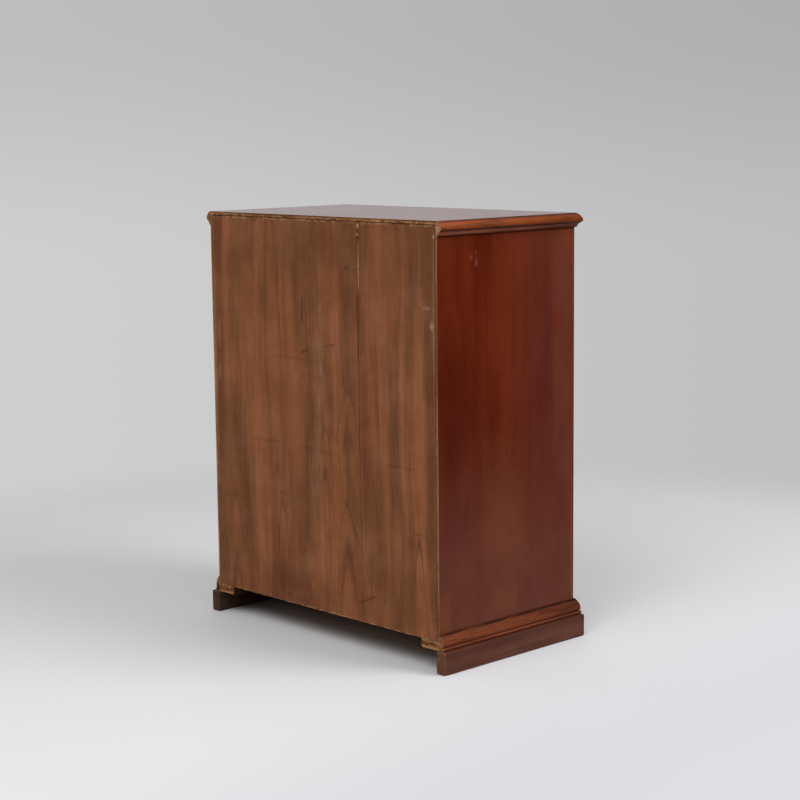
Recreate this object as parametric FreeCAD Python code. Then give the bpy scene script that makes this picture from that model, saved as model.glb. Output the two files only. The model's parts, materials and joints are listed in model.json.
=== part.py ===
import FreeCAD
import Part
import os

# A chiffonier: a plinth carries a carcase with one long drawer over a pair of panelled doors.
# Millimetres. +Z is up, the front faces -Y, and the origin is on the floor under the middle of the object.

# Overall form
carcase_width = 820.0
carcase_depth = 471.0
overall_height = 1050.0

# Carcase boards and the tongues that join them
side_thickness = 20.0
lipping_thickness = 8.0
top_thickness = 20.0
bottom_thickness = 20.0
tongue_thickness = 8.0
tongue_length = 8.0
tongue_stop = 12.0

# Back boards, their rebates and nails
back_thickness = 10.0
side_back_lip = 6.0
top_back_lip = 9.0
back_gap = 0.5
back_joint_x = -146.0
back_joint_gap = 0.8
back_tongue_thickness = 4.0
back_tongue_length = 6.0
nail_radius = 1.0
nail_length = 26.0
nail_head_radius = 2.6
nail_head_height = 1.2
nail_gap = 0.05
nail_margin = 62.0
nails_up_each_side = 8
nails_along_each_end = 6

# Plinth, base rails and the blocks glued behind the plinth
plinth_height = 53.5
plinth_thickness = 29.0
plinth_side_overhang = 24.0
plinth_front_overhang = 16.0
plinth_rear_overhang = 6.0
plinth_corner_radius = 4.0
base_rail_thickness = 20.5
base_rail_width = 60.0
base_rail_rounding = 5.0
base_tenon_length = 20.0
base_tenon_thickness = 6.0
glue_block_leg = 30.0
glue_block_length = 70.0
glue_block_margin = 70.0
glue_blocks_each_side = 3
glue_blocks_at_front = 4

# Mouldings, each outline in shares of its projection and of its height from the foot
moulding_projection = 15.0
top_moulding_height = 34.5
base_moulding_height = 39.0
top_moulding_outline = [
    (0.0, 0.0),
    (0.27, 0.0),
    (0.27, 0.08),
    (0.33, 0.08),
    ("arc", (0.46, 0.22), (0.72, 0.31)),
    (0.72, 0.34),
    ("arc", (0.93, 0.40), (1.0, 0.52)),
    ("arc", (0.68, 0.82), (0.10, 1.0)),
    (0.0, 1.0),
]
base_moulding_outline = [
    (0.0, 0.0),
    (0.87, 0.0),
    (0.87, 0.03),
    ("arc", (1.0, 0.125), (0.87, 0.22)),
    (0.75, 0.235),
    (0.75, 0.275),
    (0.86, 0.295),
    ("arc", (0.72, 0.68), (0.30, 0.95)),
    (0.30, 1.0),
    (0.0, 1.0),
]

# Front rails, drawer runners, dust board and shelves
rail_depth = 60.0
top_rail_height = 24.0
drawer_rail_height = 22.0
rail_tenon_thickness = 10.0
rail_tenon_length = 12.0
tenon_shoulder = 6.0
runner_width = 40.0
dust_board_thickness = 6.0
dust_groove_depth = 6.0
shelf_thickness = 16.0
shelf_side_gap = 0.5
shelf_setback = 20.0
bearer_size = 20.0
stop_length = 40.0
stop_depth = 18.0
stop_spacing = 400.0
stop_gap = 0.3

# Drawer
drawer_opening_height = 148.0
drawer_side_gap = 1.5
drawer_top_gap = 2.0
drawer_running_gap = 0.3
drawer_rear_gap = 25.0
drawer_front_thickness = 22.0
drawer_side_thickness = 12.0
drawer_back_thickness = 12.0
drawer_bottom_thickness = 7.0
drawer_bottom_raise = 10.0
drawer_groove_depth = 6.0
drawer_stop_gap = 2.0
dovetails = 3
dovetail_lap = 6.0
dovetail_wide_share = 0.62
dovetail_slope = 0.16

# Doors
door_thickness = 22.0
door_gap = 1.5
stile_width = 60.0
door_top_rail_width = 60.0
door_bottom_rail_width = 75.0
door_tenon_length = 40.0
door_tenon_shoulder = 12.0
panel_groove_width = 8.0
panel_groove_depth = 9.0
panel_float = 1.0
panel_slack = 0.1
panel_quirk = 1.5
panel_bevel = 28.0
panel_recess = 3.0

# Butt hinges
hinge_height = 60.0
hinge_inset = 70.0
hinge_leaf_thickness = 1.8
hinge_leaf_margin = 2.0
hinge_leaf_step = 0.2
hinge_barrel_radius = 4.0
hinge_barrel_gap = 0.2
hinge_knuckles = 5
hinge_knuckle_gap = 0.3
hinge_notch_gap = 0.3
hinge_pin_radius = 2.0
hinge_pin_fixed_gap = 0.02
hinge_pin_running_gap = 0.05
hinge_pin_head_radius = 3.2
hinge_pin_head_height = 1.5

# Knobs, turned to an outline in shares of their radius and projection
drawer_knob_projection = 36.0
drawer_knob_radius = 17.0
drawer_knob_spacing = 440.0
door_knob_projection = 26.0
door_knob_radius = 13.0
door_knob_rise = 50.0
knob_peg_radius = 4.5
knob_peg_length = 14.0
knob_peg_gap = 0.05
knob_outline = [
    (0.0, 0.0),
    (0.64, 0.0),
    (0.64, 0.10),
    ("arc", (0.42, 0.27), (0.58, 0.46)),
    ("arc", (0.90, 0.52), (1.0, 0.68)),
    ("arc", (0.80, 0.84), (0.12, 1.0)),
    (0.0, 1.0),
]

# Lock, key and keeper
lock_edge_inset = 1.5
lock_case_depth = 12.0
lock_wall = 1.5
lock_end_room = 10.5
lock_bit_room = 4.0
lock_bolt_room = 3.4
lock_throw = 12.0
lock_bolt_length = 36.0
lock_bolt_height = 10.0
lock_bolt_thickness = 5.0
lock_bolt_clearance = 0.15
keeper_wall = 3.0
keeper_gap = 0.5
key_shank_radius = 2.4
key_seat_gap = 0.1
key_bit_reach = 8.5
key_bit_thickness = 2.0
key_bit_length = 6.0
key_bit_gap = 0.6
key_bow_radius = 9.0
key_bow_wire = 1.6
key_projection = 24.0
keyhole_gap = 0.6
escutcheon_radius = 12.0
escutcheon_thickness = 1.5

# Slide bolt of the left-hand door
slide_rod_radius = 3.0
slide_rod_gap = 0.1
slide_rod_tail = 16.0
slide_rod_inset = 3.0
slide_hole_gap = 0.6
slide_hole_depth = 18.0
slide_plate_width = 24.0
slide_plate_height = 110.0
slide_plate_thickness = 2.0
slide_plate_inset = 6.0
slide_guide_width = 14.0
slide_guide_height = 12.0
slide_guide_depth = 9.0
slide_thumb_radius = 4.0
slide_thumb_length = 12.0

Vector = FreeCAD.Vector

# Places worked out from the sizes above
half_width = carcase_width / 2
inner_half = half_width - side_thickness
front_reach = max(drawer_knob_projection, door_knob_projection, key_projection, plinth_front_overhang)
rear_y = (carcase_depth + front_reach - plinth_rear_overhang) / 2
front_y = rear_y - carcase_depth
back_front_y = rear_y - back_thickness
rail_rear_y = front_y + rail_depth
back_half = half_width - side_back_lip

carcase_z = plinth_height + base_rail_thickness
bottom_top_z = carcase_z + bottom_thickness
base_moulding_top_z = plinth_height + base_moulding_height
top_under_z = overall_height - top_thickness
back_top_z = overall_height - top_back_lip
top_rail_z = top_under_z - top_rail_height
drawer_sill_z = top_rail_z - drawer_opening_height
door_head_z = drawer_sill_z - drawer_rail_height
runner_middle_z = (door_head_z + drawer_sill_z) / 2

door_near_x = door_gap / 2
door_far_x = inner_half - door_gap
door_low_z = max(bottom_top_z, base_moulding_top_z) + door_gap
door_high_z = door_head_z - door_gap
door_back_y = front_y + door_thickness
sight_near_x = door_near_x + stile_width
sight_far_x = door_far_x - stile_width
sight_low_z = door_low_z + door_bottom_rail_width
sight_high_z = door_high_z - door_top_rail_width
groove_front_y = front_y + (door_thickness - panel_groove_width) / 2
groove_rear_y = groove_front_y + panel_groove_width

hinge_x = inner_half - door_gap / 2
hinge_y = front_y - hinge_barrel_radius - hinge_barrel_gap
hinge_feet = [door_low_z + hinge_inset, door_high_z - hinge_inset - hinge_height]
knuckle_length = (hinge_height - hinge_knuckle_gap * (hinge_knuckles - 1)) / hinge_knuckles

stile_middle_x = (door_near_x + sight_near_x) / 2
key_z = (door_low_z + door_high_z) / 2
door_knob_z = key_z + door_knob_rise
lock_near_x = door_near_x + lock_edge_inset
lock_back_y = door_back_y + lock_case_depth
bolt_low_z = key_z + key_bit_reach + key_bit_gap
bolt_front_y = door_back_y + (lock_case_depth - lock_wall - lock_bolt_thickness) / 2

slide_top_z = door_high_z - slide_plate_inset
slide_low_z = slide_top_z - slide_plate_height
slide_rod_y = door_back_y + slide_plate_thickness + slide_guide_depth / 2

drawer_half = inner_half - drawer_side_gap
drawer_low_z = drawer_sill_z + drawer_running_gap
drawer_high_z = top_rail_z - drawer_top_gap
drawer_front_back_y = front_y + drawer_front_thickness
drawer_rear_y = back_front_y - drawer_rear_gap
drawer_floor_z = drawer_low_z + drawer_bottom_raise
drawer_floor_top_z = drawer_floor_z + drawer_bottom_thickness
drawer_knob_z = (drawer_low_z + drawer_high_z) / 2


# A box between two opposite corners
def block(low, high):
    size = [b - a for a, b in zip(low, high)]
    return Part.makeBox(*size, Vector(*low))


# A round rod that stands on (x, y, z)
def upright(x, y, z, radius, length):
    return Part.makeCylinder(radius, length, Vector(x, y, z), Vector(0, 0, 1))


# A round rod that runs towards the rear from (x, y, z)
def rearward(x, y, z, radius, length):
    return Part.makeCylinder(radius, length, Vector(x, y, z), Vector(0, 1, 0))


# An upright prism on an outline seen from above
def prism(outline, low_z, high_z):
    corners = [Vector(x, y, low_z) for x, y in outline]
    return Part.Face(Part.makePolygon(corners + corners[:1])).extrude(Vector(0, 0, high_z - low_z))


# A closed face along lines and ("arc", via, end) steps, with each point put in space by place
def traced_face(outline, place):
    start = place(*outline[0])
    here = start
    edges = []
    for step in outline[1:]:
        end = place(*step[2]) if step[0] == "arc" else place(*step)
        if step[0] == "arc":
            edges.append(Part.Arc(here, place(*step[1]), end).toShape())
        else:
            edges.append(Part.makeLine(here, end))
        here = end
    edges.append(Part.makeLine(here, start))
    return Part.Face(Part.Wire(edges))


# The same piece on the other side of the middle plane
def mirrored(shape):
    return shape.mirror(Vector(0, 0, 0), Vector(1, 0, 0))


# A piece and its mirror image, as one group
def pair(shape):
    return Part.makeCompound([shape, mirrored(shape)])


# Evenly spaced places from low to high, both ends included
def spread(low, high, count):
    return [low + (high - low) * number / (count - 1) for number in range(count)]


# Where the back's nails are driven, as (x, z)
def nail_places():
    side_x = (inner_half + back_half) / 2
    heights = spread(carcase_z + nail_margin, back_top_z - nail_margin, nails_up_each_side)
    widths = spread(-inner_half + nail_margin, inner_half - nail_margin, nails_along_each_end)
    end_heights = [carcase_z + bottom_thickness / 2, (top_under_z + back_top_z) / 2]
    places = [(x, z) for x in (-side_x, side_x) for z in heights]
    return places + [(x, z) for x in widths for z in end_heights]


# One nail with its head flush with the back, or its hole where gap is more than nothing
def nail(x, z, gap):
    head_y = rear_y - nail_head_height
    shank = rearward(x, rear_y - nail_length, z, nail_radius + gap, nail_length)
    return shank.fuse(rearward(x, head_y, z, nail_head_radius + gap, nail_head_height))


# A front rail between the sides, with a tenon into each
def front_rail(low_z, high_z):
    middle = (low_z + high_z) / 2
    tenon_front = front_y + lipping_thickness + tenon_shoulder
    rail = block((-inner_half, front_y, low_z), (inner_half, rail_rear_y, high_z))
    reach = inner_half + rail_tenon_length
    half_tenon = rail_tenon_thickness / 2
    tenons = block(
        (-reach, tenon_front, middle - half_tenon),
        (reach, rail_rear_y - tenon_shoulder, middle + half_tenon),
    )
    return rail.fuse(tenons).removeSplitter()


# The board under the cupboard, tongued into both sides
def bottom_board():
    board = block((-inner_half, front_y, carcase_z), (inner_half, back_front_y, bottom_top_z))
    middle = (carcase_z + bottom_top_z) / 2
    reach = inner_half + tongue_length
    tongues = block(
        (-reach, front_y + lipping_thickness + tongue_stop, middle - tongue_thickness / 2),
        (reach, back_front_y - tongue_stop, middle + tongue_thickness / 2),
    )
    return board.fuse(tongues).removeSplitter()


# The right-hand side: stopped tongue into the top, rebate for the back, and cuts for what it holds
def side_right(held):
    side = block((inner_half, front_y + lipping_thickness, carcase_z), (half_width, rear_y, top_under_z))
    middle = (inner_half + half_width) / 2
    tongue = block(
        (middle - tongue_thickness / 2, front_y + lipping_thickness + tongue_stop, top_under_z),
        (middle + tongue_thickness / 2, back_front_y - tongue_stop, top_under_z + tongue_length),
    )
    rebate = block((inner_half, back_front_y, carcase_z), (back_half, rear_y, top_under_z))
    return side.fuse(tongue).removeSplitter().cut([rebate] + held)


# The strip on the front edge of the right-hand side
def lipping_right(held):
    far_y = front_y + lipping_thickness
    return block((inner_half, front_y, carcase_z), (half_width, far_y, top_under_z)).cut(held)


# The top over the sides, with a rebate at the rear for the back boards
def top_board(held):
    board = block((-half_width, front_y, top_under_z), (half_width, rear_y, overall_height))
    rebate = block((-back_half, back_front_y, top_under_z), (back_half, rear_y, back_top_z))
    return board.cut([rebate] + held)


# The wide back board, with a tongue along its joint, and the narrow one, with the groove
def back_boards(holes):
    low_z = carcase_z
    high_z = back_top_z - back_gap
    edge = back_half - back_gap
    middle_y = back_front_y + back_thickness / 2
    tongue_front = middle_y - back_tongue_thickness / 2
    tongue_rear = middle_y + back_tongue_thickness / 2
    wide = block((back_joint_x, back_front_y, low_z), (edge, rear_y, high_z))
    tongue = block(
        (back_joint_x - back_tongue_length, tongue_front, low_z),
        (back_joint_x, tongue_rear, high_z),
    )
    narrow_edge = back_joint_x - back_joint_gap
    narrow = block((-edge, back_front_y, low_z), (narrow_edge, rear_y, high_z))
    groove = block(
        (back_joint_x - back_tongue_length - back_joint_gap, tongue_front, low_z),
        (narrow_edge, tongue_rear, high_z),
    )
    return wide.fuse(tongue).removeSplitter().cut(holes), narrow.cut([groove] + holes)


# Plan of the left-hand run of a band round the carcase, cut at 45 degrees at the front corner
def left_plan(reach, ahead, inside, behind=0.0):
    return [
        (-half_width + inside, rear_y + behind),
        (-half_width - reach, rear_y + behind),
        (-half_width - reach, front_y - ahead),
        (-half_width + inside, front_y - ahead + reach + inside),
    ]


# Plan of the front run of the same band
def front_plan(reach, ahead, inside):
    outer = half_width + reach
    inner = half_width - inside
    front = front_y - ahead
    inner_y = front + reach + inside
    return [(-inner, inner_y), (-outer, front), (outer, front), (inner, inner_y)]


# A moulding planted round the carcase: its left, right and front lengths, mitred together
def moulding(outline, low_z, height):
    reach = moulding_projection

    def left_place(out, up):
        return Vector(-half_width - out * reach, front_y - reach, low_z + up * height)

    def front_place(out, up):
        return Vector(-half_width - reach, front_y - out * reach, low_z + up * height)

    left_length = traced_face(outline, left_place).extrude(Vector(0, carcase_depth + reach, 0))
    front_length = traced_face(outline, front_place).extrude(Vector(carcase_width + 2 * reach, 0, 0))
    high_z = low_z + height
    left = left_length.common(prism(left_plan(reach, reach, 0), low_z, high_z))
    front = front_length.common(prism(front_plan(reach, reach, 0), low_z, high_z))
    return left, mirrored(left), front


# The plinth: three boards mitred at the front, with softened outer corners
def plinth():
    inside = plinth_thickness - plinth_side_overhang
    outer = half_width + plinth_side_overhang
    front = front_y - plinth_front_overhang
    plan = left_plan(plinth_side_overhang, plinth_front_overhang, inside, plinth_rear_overhang)
    left = prism(plan, 0, plinth_height)
    face = prism(front_plan(plinth_side_overhang, plinth_front_overhang, inside), 0, plinth_height)
    whole = left.fuse([face, mirrored(left)]).removeSplitter()

    def is_outer_corner(edge):
        middle = edge.CenterOfMass
        return abs(abs(middle.x) - outer) + abs(middle.y - front) < plinth_corner_radius

    corners = [edge for edge in whole.Edges if is_outer_corner(edge) and abs(edge.BoundBox.ZLength) > 0]
    rounded = whole.makeFillet(plinth_corner_radius, corners)
    return rounded.common(left), rounded.common(mirrored(left)), rounded.common(face)


# The rails on the plinth that carry the carcase: the front one is tenoned between the side ones
def base_rails():
    inner = half_width - base_rail_width
    rear = front_y + base_rail_width
    middle = plinth_height + base_rail_thickness / 2
    front = block((-inner, front_y, plinth_height), (inner, rear, carcase_z))
    tenons = block(
        (-inner - base_tenon_length, front_y + tenon_shoulder, middle - base_tenon_thickness / 2),
        (inner + base_tenon_length, rear - tenon_shoulder, middle + base_tenon_thickness / 2),
    )
    front = front.fuse(tenons).removeSplitter()
    side = block((inner, front_y, plinth_height), (half_width, rear_y, carcase_z))

    def is_lower_inner(edge):
        middle = edge.CenterOfMass
        return abs(middle.x - inner) + abs(middle.z - plinth_height) < base_rail_rounding

    edges = [edge for edge in side.Edges if is_lower_inner(edge) and edge.BoundBox.YLength > 0]
    right = side.makeFillet(base_rail_rounding, edges).cut(front)
    return mirrored(right), right, front


# Three-cornered blocks glued in the angle between the plinth and the base rails
def plinth_glue_blocks():
    leg = glue_block_leg
    side_wall = half_width + plinth_side_overhang - plinth_thickness
    front_wall = front_y - plinth_front_overhang + plinth_thickness
    corner = [(0.0, 0.0), (leg, 0.0), (0.0, leg)]
    half = glue_block_length / 2
    first_y = front_wall + leg + glue_block_margin
    blocks = []
    for y in spread(first_y, rear_y - glue_block_margin, glue_blocks_each_side):
        section = traced_face(corner, lambda a, b: Vector(side_wall - a, y - half, plinth_height - b))
        right = section.extrude(Vector(0, glue_block_length, 0))
        blocks += [right, mirrored(right)]
    last_x = side_wall - leg - glue_block_margin
    for x in spread(-last_x, last_x, glue_blocks_at_front):
        section = traced_face(corner, lambda a, b: Vector(x - half, front_wall + a, plinth_height - b))
        blocks.append(section.extrude(Vector(glue_block_length, 0, 0)))
    return Part.makeCompound(blocks)


# The board that closes the cupboard off from the drawer, held in grooves of the rail and runners
def dust_board():
    reach = inner_half - runner_width + dust_groove_depth
    half = dust_board_thickness / 2
    return block(
        (-reach, rail_rear_y - dust_groove_depth, runner_middle_z - half),
        (reach, back_front_y, runner_middle_z + half),
    )


# A strip along the inside of the right-hand side, behind the front rails
def side_strip_right(low_z, high_z):
    return block((inner_half - runner_width, rail_rear_y, low_z), (inner_half, back_front_y, high_z))


# The underside of each shelf, so that the cupboard is in equal parts
def shelf_feet():
    clear = door_head_z - bottom_top_z - 2 * shelf_thickness
    return [bottom_top_z + clear / 3, bottom_top_z + 2 * clear / 3 + shelf_thickness]


# A shelf that lies loose on its bearers
def shelf(foot):
    reach = inner_half - shelf_side_gap
    return block(
        (-reach, door_back_y + shelf_setback, foot),
        (reach, back_front_y, foot + shelf_thickness),
    )


# The bearers under both shelves, two to a shelf
def shelf_bearers():
    bearers = []
    for foot in shelf_feet():
        right = block(
            (inner_half - bearer_size, door_back_y + shelf_setback, foot - bearer_size),
            (inner_half, back_front_y, foot),
        )
        bearers += [right, mirrored(right)]
    return Part.makeCompound(bearers)


# A pair of small blocks across the front, which stop a door or the drawer
def front_stops(near_y, low_z, high_z):
    low_x = (stop_spacing - stop_length) / 2
    return pair(block((low_x, near_y, low_z), (low_x + stop_length, near_y + stop_depth, high_z)))


# A turned knob with a peg into the wood, on the front face at (x, z)
def knob(x, z, radius, projection):
    def place(out, along):
        return Vector(x + out * radius, front_y - along * projection, z)

    head = traced_face(knob_outline, place).revolve(Vector(x, front_y, z), Vector(0, 1, 0), 360)
    return head.fuse(rearward(x, front_y, z, knob_peg_radius, knob_peg_length)).removeSplitter()


# The hole for a knob's peg
def peg_hole(x, z):
    return rearward(x, front_y, z, knob_peg_radius + knob_peg_gap, knob_peg_length)


# The dovetails at one end of the right-hand drawer side, from low_z up, each widening from root to tip
def dovetail_set(root_y, tip_y, low_z):
    near_x = drawer_half - drawer_side_thickness
    pitch = (drawer_high_z - low_z) / dovetails
    wide = pitch * dovetail_wide_share / 2
    narrow = wide - abs(tip_y - root_y) * dovetail_slope
    tails = []
    for number in range(dovetails):
        middle = low_z + pitch * (number + 0.5)
        corners = [
            (root_y, middle - narrow),
            (tip_y, middle - wide),
            (tip_y, middle + wide),
            (root_y, middle + narrow),
        ]
        section = traced_face(corners, lambda y, z: Vector(near_x, y, z))
        tails.append(section.extrude(Vector(drawer_side_thickness, 0, 0)))
    return tails


# The drawer: half-blind dovetails at the front, through ones at the back, and a bottom in grooves
def drawer_parts():
    near_x = drawer_half - drawer_side_thickness
    back_inner_y = drawer_rear_y - drawer_back_thickness
    lap_y = front_y + dovetail_lap
    floor_reach = near_x + drawer_groove_depth
    floor = block(
        (-floor_reach, drawer_front_back_y - drawer_groove_depth, drawer_floor_z),
        (floor_reach, drawer_rear_y, drawer_floor_top_z),
    )
    front_tails = dovetail_set(drawer_front_back_y, lap_y, drawer_low_z)
    back_tails = dovetail_set(back_inner_y, drawer_rear_y, drawer_floor_top_z)
    pegs = [peg_hole(side * drawer_knob_spacing / 2, drawer_knob_z) for side in (-1, 1)]
    front = block((-drawer_half, front_y, drawer_low_z), (drawer_half, drawer_front_back_y, drawer_high_z))
    front = front.cut(front_tails + [mirrored(tail) for tail in front_tails] + [floor] + pegs)
    back = block(
        (-drawer_half, back_inner_y, drawer_floor_top_z),
        (drawer_half, drawer_rear_y, drawer_high_z),
    )
    back = back.cut(back_tails + [mirrored(tail) for tail in back_tails])
    side = block((near_x, lap_y, drawer_low_z), (drawer_half, drawer_rear_y, drawer_high_z))
    side = side.cut([front, back, floor])
    return front, mirrored(side), side, back, floor


# A rail of the right-hand door, with a tenon into each stile and a groove for the panel
def door_rail(low_z, high_z, tenon_low_z, tenon_high_z, groove):
    rail = block((sight_near_x, front_y, low_z), (sight_far_x, door_back_y, high_z))
    tenons = block(
        (sight_near_x - door_tenon_length, groove_front_y, tenon_low_z),
        (sight_far_x + door_tenon_length, groove_rear_y, tenon_high_z),
    )
    return rail.fuse(tenons).removeSplitter().cut(groove)


# A rectangle across the door at one depth, inset from the panel's sight size
def panel_rectangle(y, inset):
    corners = [
        Vector(sight_near_x + inset, y, sight_low_z + inset),
        Vector(sight_far_x - inset, y, sight_low_z + inset),
        Vector(sight_far_x - inset, y, sight_high_z - inset),
        Vector(sight_near_x + inset, y, sight_high_z - inset),
    ]
    return Part.makePolygon(corners + corners[:1])


# The panel of the right-hand door: a tongue all round and a bevelled field in front
def door_panel():
    reach = panel_groove_depth - panel_float
    tongue = block(
        (sight_near_x - reach, groove_front_y + panel_slack, sight_low_z - reach),
        (sight_far_x + reach, groove_rear_y - panel_slack, sight_high_z + reach),
    )
    foot = panel_rectangle(groove_front_y + panel_slack, panel_quirk)
    field = panel_rectangle(front_y + panel_recess, panel_quirk + panel_bevel)
    return tongue.fuse(Part.makeLoft([foot, field], True, True)).removeSplitter()


# The frame and panel of the right-hand door
def door_parts(hinge_gains):
    depth = panel_groove_depth
    groove = block(
        (sight_near_x - depth, groove_front_y, sight_low_z - depth),
        (sight_far_x + depth, groove_rear_y, sight_high_z + depth),
    )
    shoulder = door_tenon_shoulder
    top = door_rail(sight_high_z, door_high_z, sight_high_z + shoulder, door_high_z - shoulder, groove)
    bottom = door_rail(door_low_z, sight_low_z, door_low_z + shoulder, sight_low_z - shoulder, groove)
    peg = peg_hole(stile_middle_x, door_knob_z)
    meeting = block((door_near_x, front_y, door_low_z), (sight_near_x, door_back_y, door_high_z))
    meeting = meeting.cut([groove, top, bottom, peg])
    hinging = block((sight_far_x, front_y, door_low_z), (door_far_x, door_back_y, door_high_z))
    hinging = hinging.cut([groove, top, bottom] + hinge_gains)
    return {
        "hinge_stile": hinging,
        "meeting_stile": meeting,
        "top_rail": top,
        "bottom_rail": bottom,
        "panel": door_panel(),
    }


# The plate of a hinge leaf, before its knuckles
def hinge_plate(near_x, foot):
    return block(
        (near_x, hinge_y, foot),
        (near_x + hinge_leaf_thickness, door_back_y - hinge_leaf_margin, foot + hinge_height),
    )


# A hinge leaf that has every second knuckle from the first one given, and clears the others
def hinge_leaf(plate, foot, first, pin_gap):
    pitch = knuckle_length + hinge_knuckle_gap
    feet = [foot + number * pitch for number in range(hinge_knuckles)]
    clear_radius = hinge_barrel_radius + hinge_notch_gap
    clear_length = knuckle_length + 2 * hinge_knuckle_gap
    others = [
        upright(hinge_x, hinge_y, z - hinge_knuckle_gap, clear_radius, clear_length)
        for number, z in enumerate(feet)
        if number % 2 != first
    ]
    own = [
        upright(hinge_x, hinge_y, z, hinge_barrel_radius, knuckle_length)
        for number, z in enumerate(feet)
        if number % 2 == first
    ]
    bore = upright(hinge_x, hinge_y, foot, hinge_pin_radius + pin_gap, hinge_height)
    return plate.cut(others).fuse(own).removeSplitter().cut(bore)


# A hinge pin with a head at each end
def hinge_pin(foot):
    pin = upright(hinge_x, hinge_y, foot, hinge_pin_radius, hinge_height)
    heads = [
        upright(hinge_x, hinge_y, z, hinge_pin_head_radius, hinge_pin_head_height)
        for z in (foot - hinge_pin_head_height, foot + hinge_height)
    ]
    return pin.fuse(heads).removeSplitter()


# The hole for the key: round for its shank, with a slot below for its bit
def keyhole(near_y, far_y):
    half = key_bit_thickness / 2 + keyhole_gap
    bore = rearward(stile_middle_x, near_y, key_z, key_shank_radius + keyhole_gap, far_y - near_y)
    slot = block(
        (stile_middle_x - half, near_y, key_z - key_bit_reach - keyhole_gap),
        (stile_middle_x + half, far_y, key_z),
    )
    return bore.fuse(slot)


# The round plate over the keyhole
def escutcheon():
    near_y = front_y - escutcheon_thickness
    plate = rearward(stile_middle_x, near_y, key_z, escutcheon_radius, escutcheon_thickness)
    return plate.cut(keyhole(near_y, front_y))


# The lock's bolt, drawn in, with room all round it where room is more than nothing
def lock_bolt(room):
    return block(
        (lock_near_x, bolt_front_y - room, bolt_low_z - room),
        (
            lock_near_x + lock_bolt_length,
            bolt_front_y + lock_bolt_thickness + room,
            bolt_low_z + lock_bolt_height + room,
        ),
    )


# The lock's case on the inside of the door, open towards the stile
def lock_case():
    far_x = lock_near_x + lock_bolt_length + lock_end_room + lock_wall
    low_z = key_z - key_bit_reach - lock_bit_room - lock_wall
    high_z = bolt_low_z + lock_bolt_height + lock_bolt_room + lock_wall
    case = block((lock_near_x, door_back_y, low_z), (far_x, lock_back_y, high_z))
    inside = block(
        (lock_near_x + lock_wall, door_back_y, low_z + lock_wall),
        (far_x - lock_wall, lock_back_y - lock_wall, high_z - lock_wall),
    )
    seat = rearward(stile_middle_x, door_back_y, key_z, key_shank_radius + key_seat_gap, lock_case_depth)
    return case.cut([inside, lock_bolt(lock_bolt_clearance), seat])


# The key: a ring to hold it by, a shank into the lock's cover, and a bit inside the lock
def key():
    bow_y = front_y - key_projection + key_bow_radius
    ring_radius = key_bow_radius - key_bow_wire
    bow = Part.makeTorus(ring_radius, key_bow_wire, Vector(stile_middle_x, bow_y, key_z), Vector(1, 0, 0))
    shank_y = bow_y + ring_radius
    shank = rearward(stile_middle_x, shank_y, key_z, key_shank_radius, lock_back_y - shank_y)
    half = key_bit_thickness / 2
    bit_y = (door_back_y + lock_back_y - lock_wall - key_bit_length) / 2
    bit = block(
        (stile_middle_x - half, bit_y, key_z - key_bit_reach),
        (stile_middle_x + half, bit_y + key_bit_length, key_z),
    )
    return shank.fuse([bow, bit]).removeSplitter()


# The keeper on the left-hand door that takes the thrown bolt
def lock_keeper():
    mouth_x = -lock_near_x
    depth = lock_throw - 2 * lock_near_x + keeper_wall
    keeper = block(
        (mouth_x - depth - keeper_wall, door_back_y, bolt_low_z - keeper_wall),
        (mouth_x, lock_back_y, bolt_low_z + lock_bolt_height + keeper_wall),
    )
    pocket = block(
        (mouth_x - depth, bolt_front_y - keeper_gap, bolt_low_z - keeper_gap),
        (
            mouth_x,
            bolt_front_y + lock_bolt_thickness + keeper_gap,
            bolt_low_z + lock_bolt_height + keeper_gap,
        ),
    )
    return keeper.cut(pocket)


# The plate of the slide bolt, with a guide at each end
def slide_plate():
    x = -stile_middle_x
    plate_back_y = door_back_y + slide_plate_thickness
    plate = block(
        (x - slide_plate_width / 2, door_back_y, slide_low_z),
        (x + slide_plate_width / 2, plate_back_y, slide_top_z),
    )
    guides = [
        block(
            (x - slide_guide_width / 2, plate_back_y, z),
            (x + slide_guide_width / 2, plate_back_y + slide_guide_depth, z + slide_guide_height),
        )
        for z in (slide_low_z, slide_top_z - slide_guide_height)
    ]
    bore = upright(x, slide_rod_y, slide_low_z, slide_rod_radius + slide_rod_gap, slide_plate_height)
    return plate.fuse(guides).removeSplitter().cut(bore)


# The rod of the slide bolt, drawn down, with its thumb piece
def slide_rod():
    x = -stile_middle_x
    foot = slide_low_z - slide_rod_tail
    rod = upright(x, slide_rod_y, foot, slide_rod_radius, door_high_z - slide_rod_inset - foot)
    thumb_z = (slide_low_z + slide_top_z) / 2
    thumb = rearward(x, slide_rod_y, thumb_z, slide_thumb_radius, slide_thumb_length)
    return rod.fuse(thumb).removeSplitter()


# The hole in the rail over the doors that takes the slide bolt
def slide_hole():
    radius = slide_rod_radius + slide_hole_gap
    return upright(-stile_middle_x, slide_rod_y, door_head_z, radius, slide_hole_depth)


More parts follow.
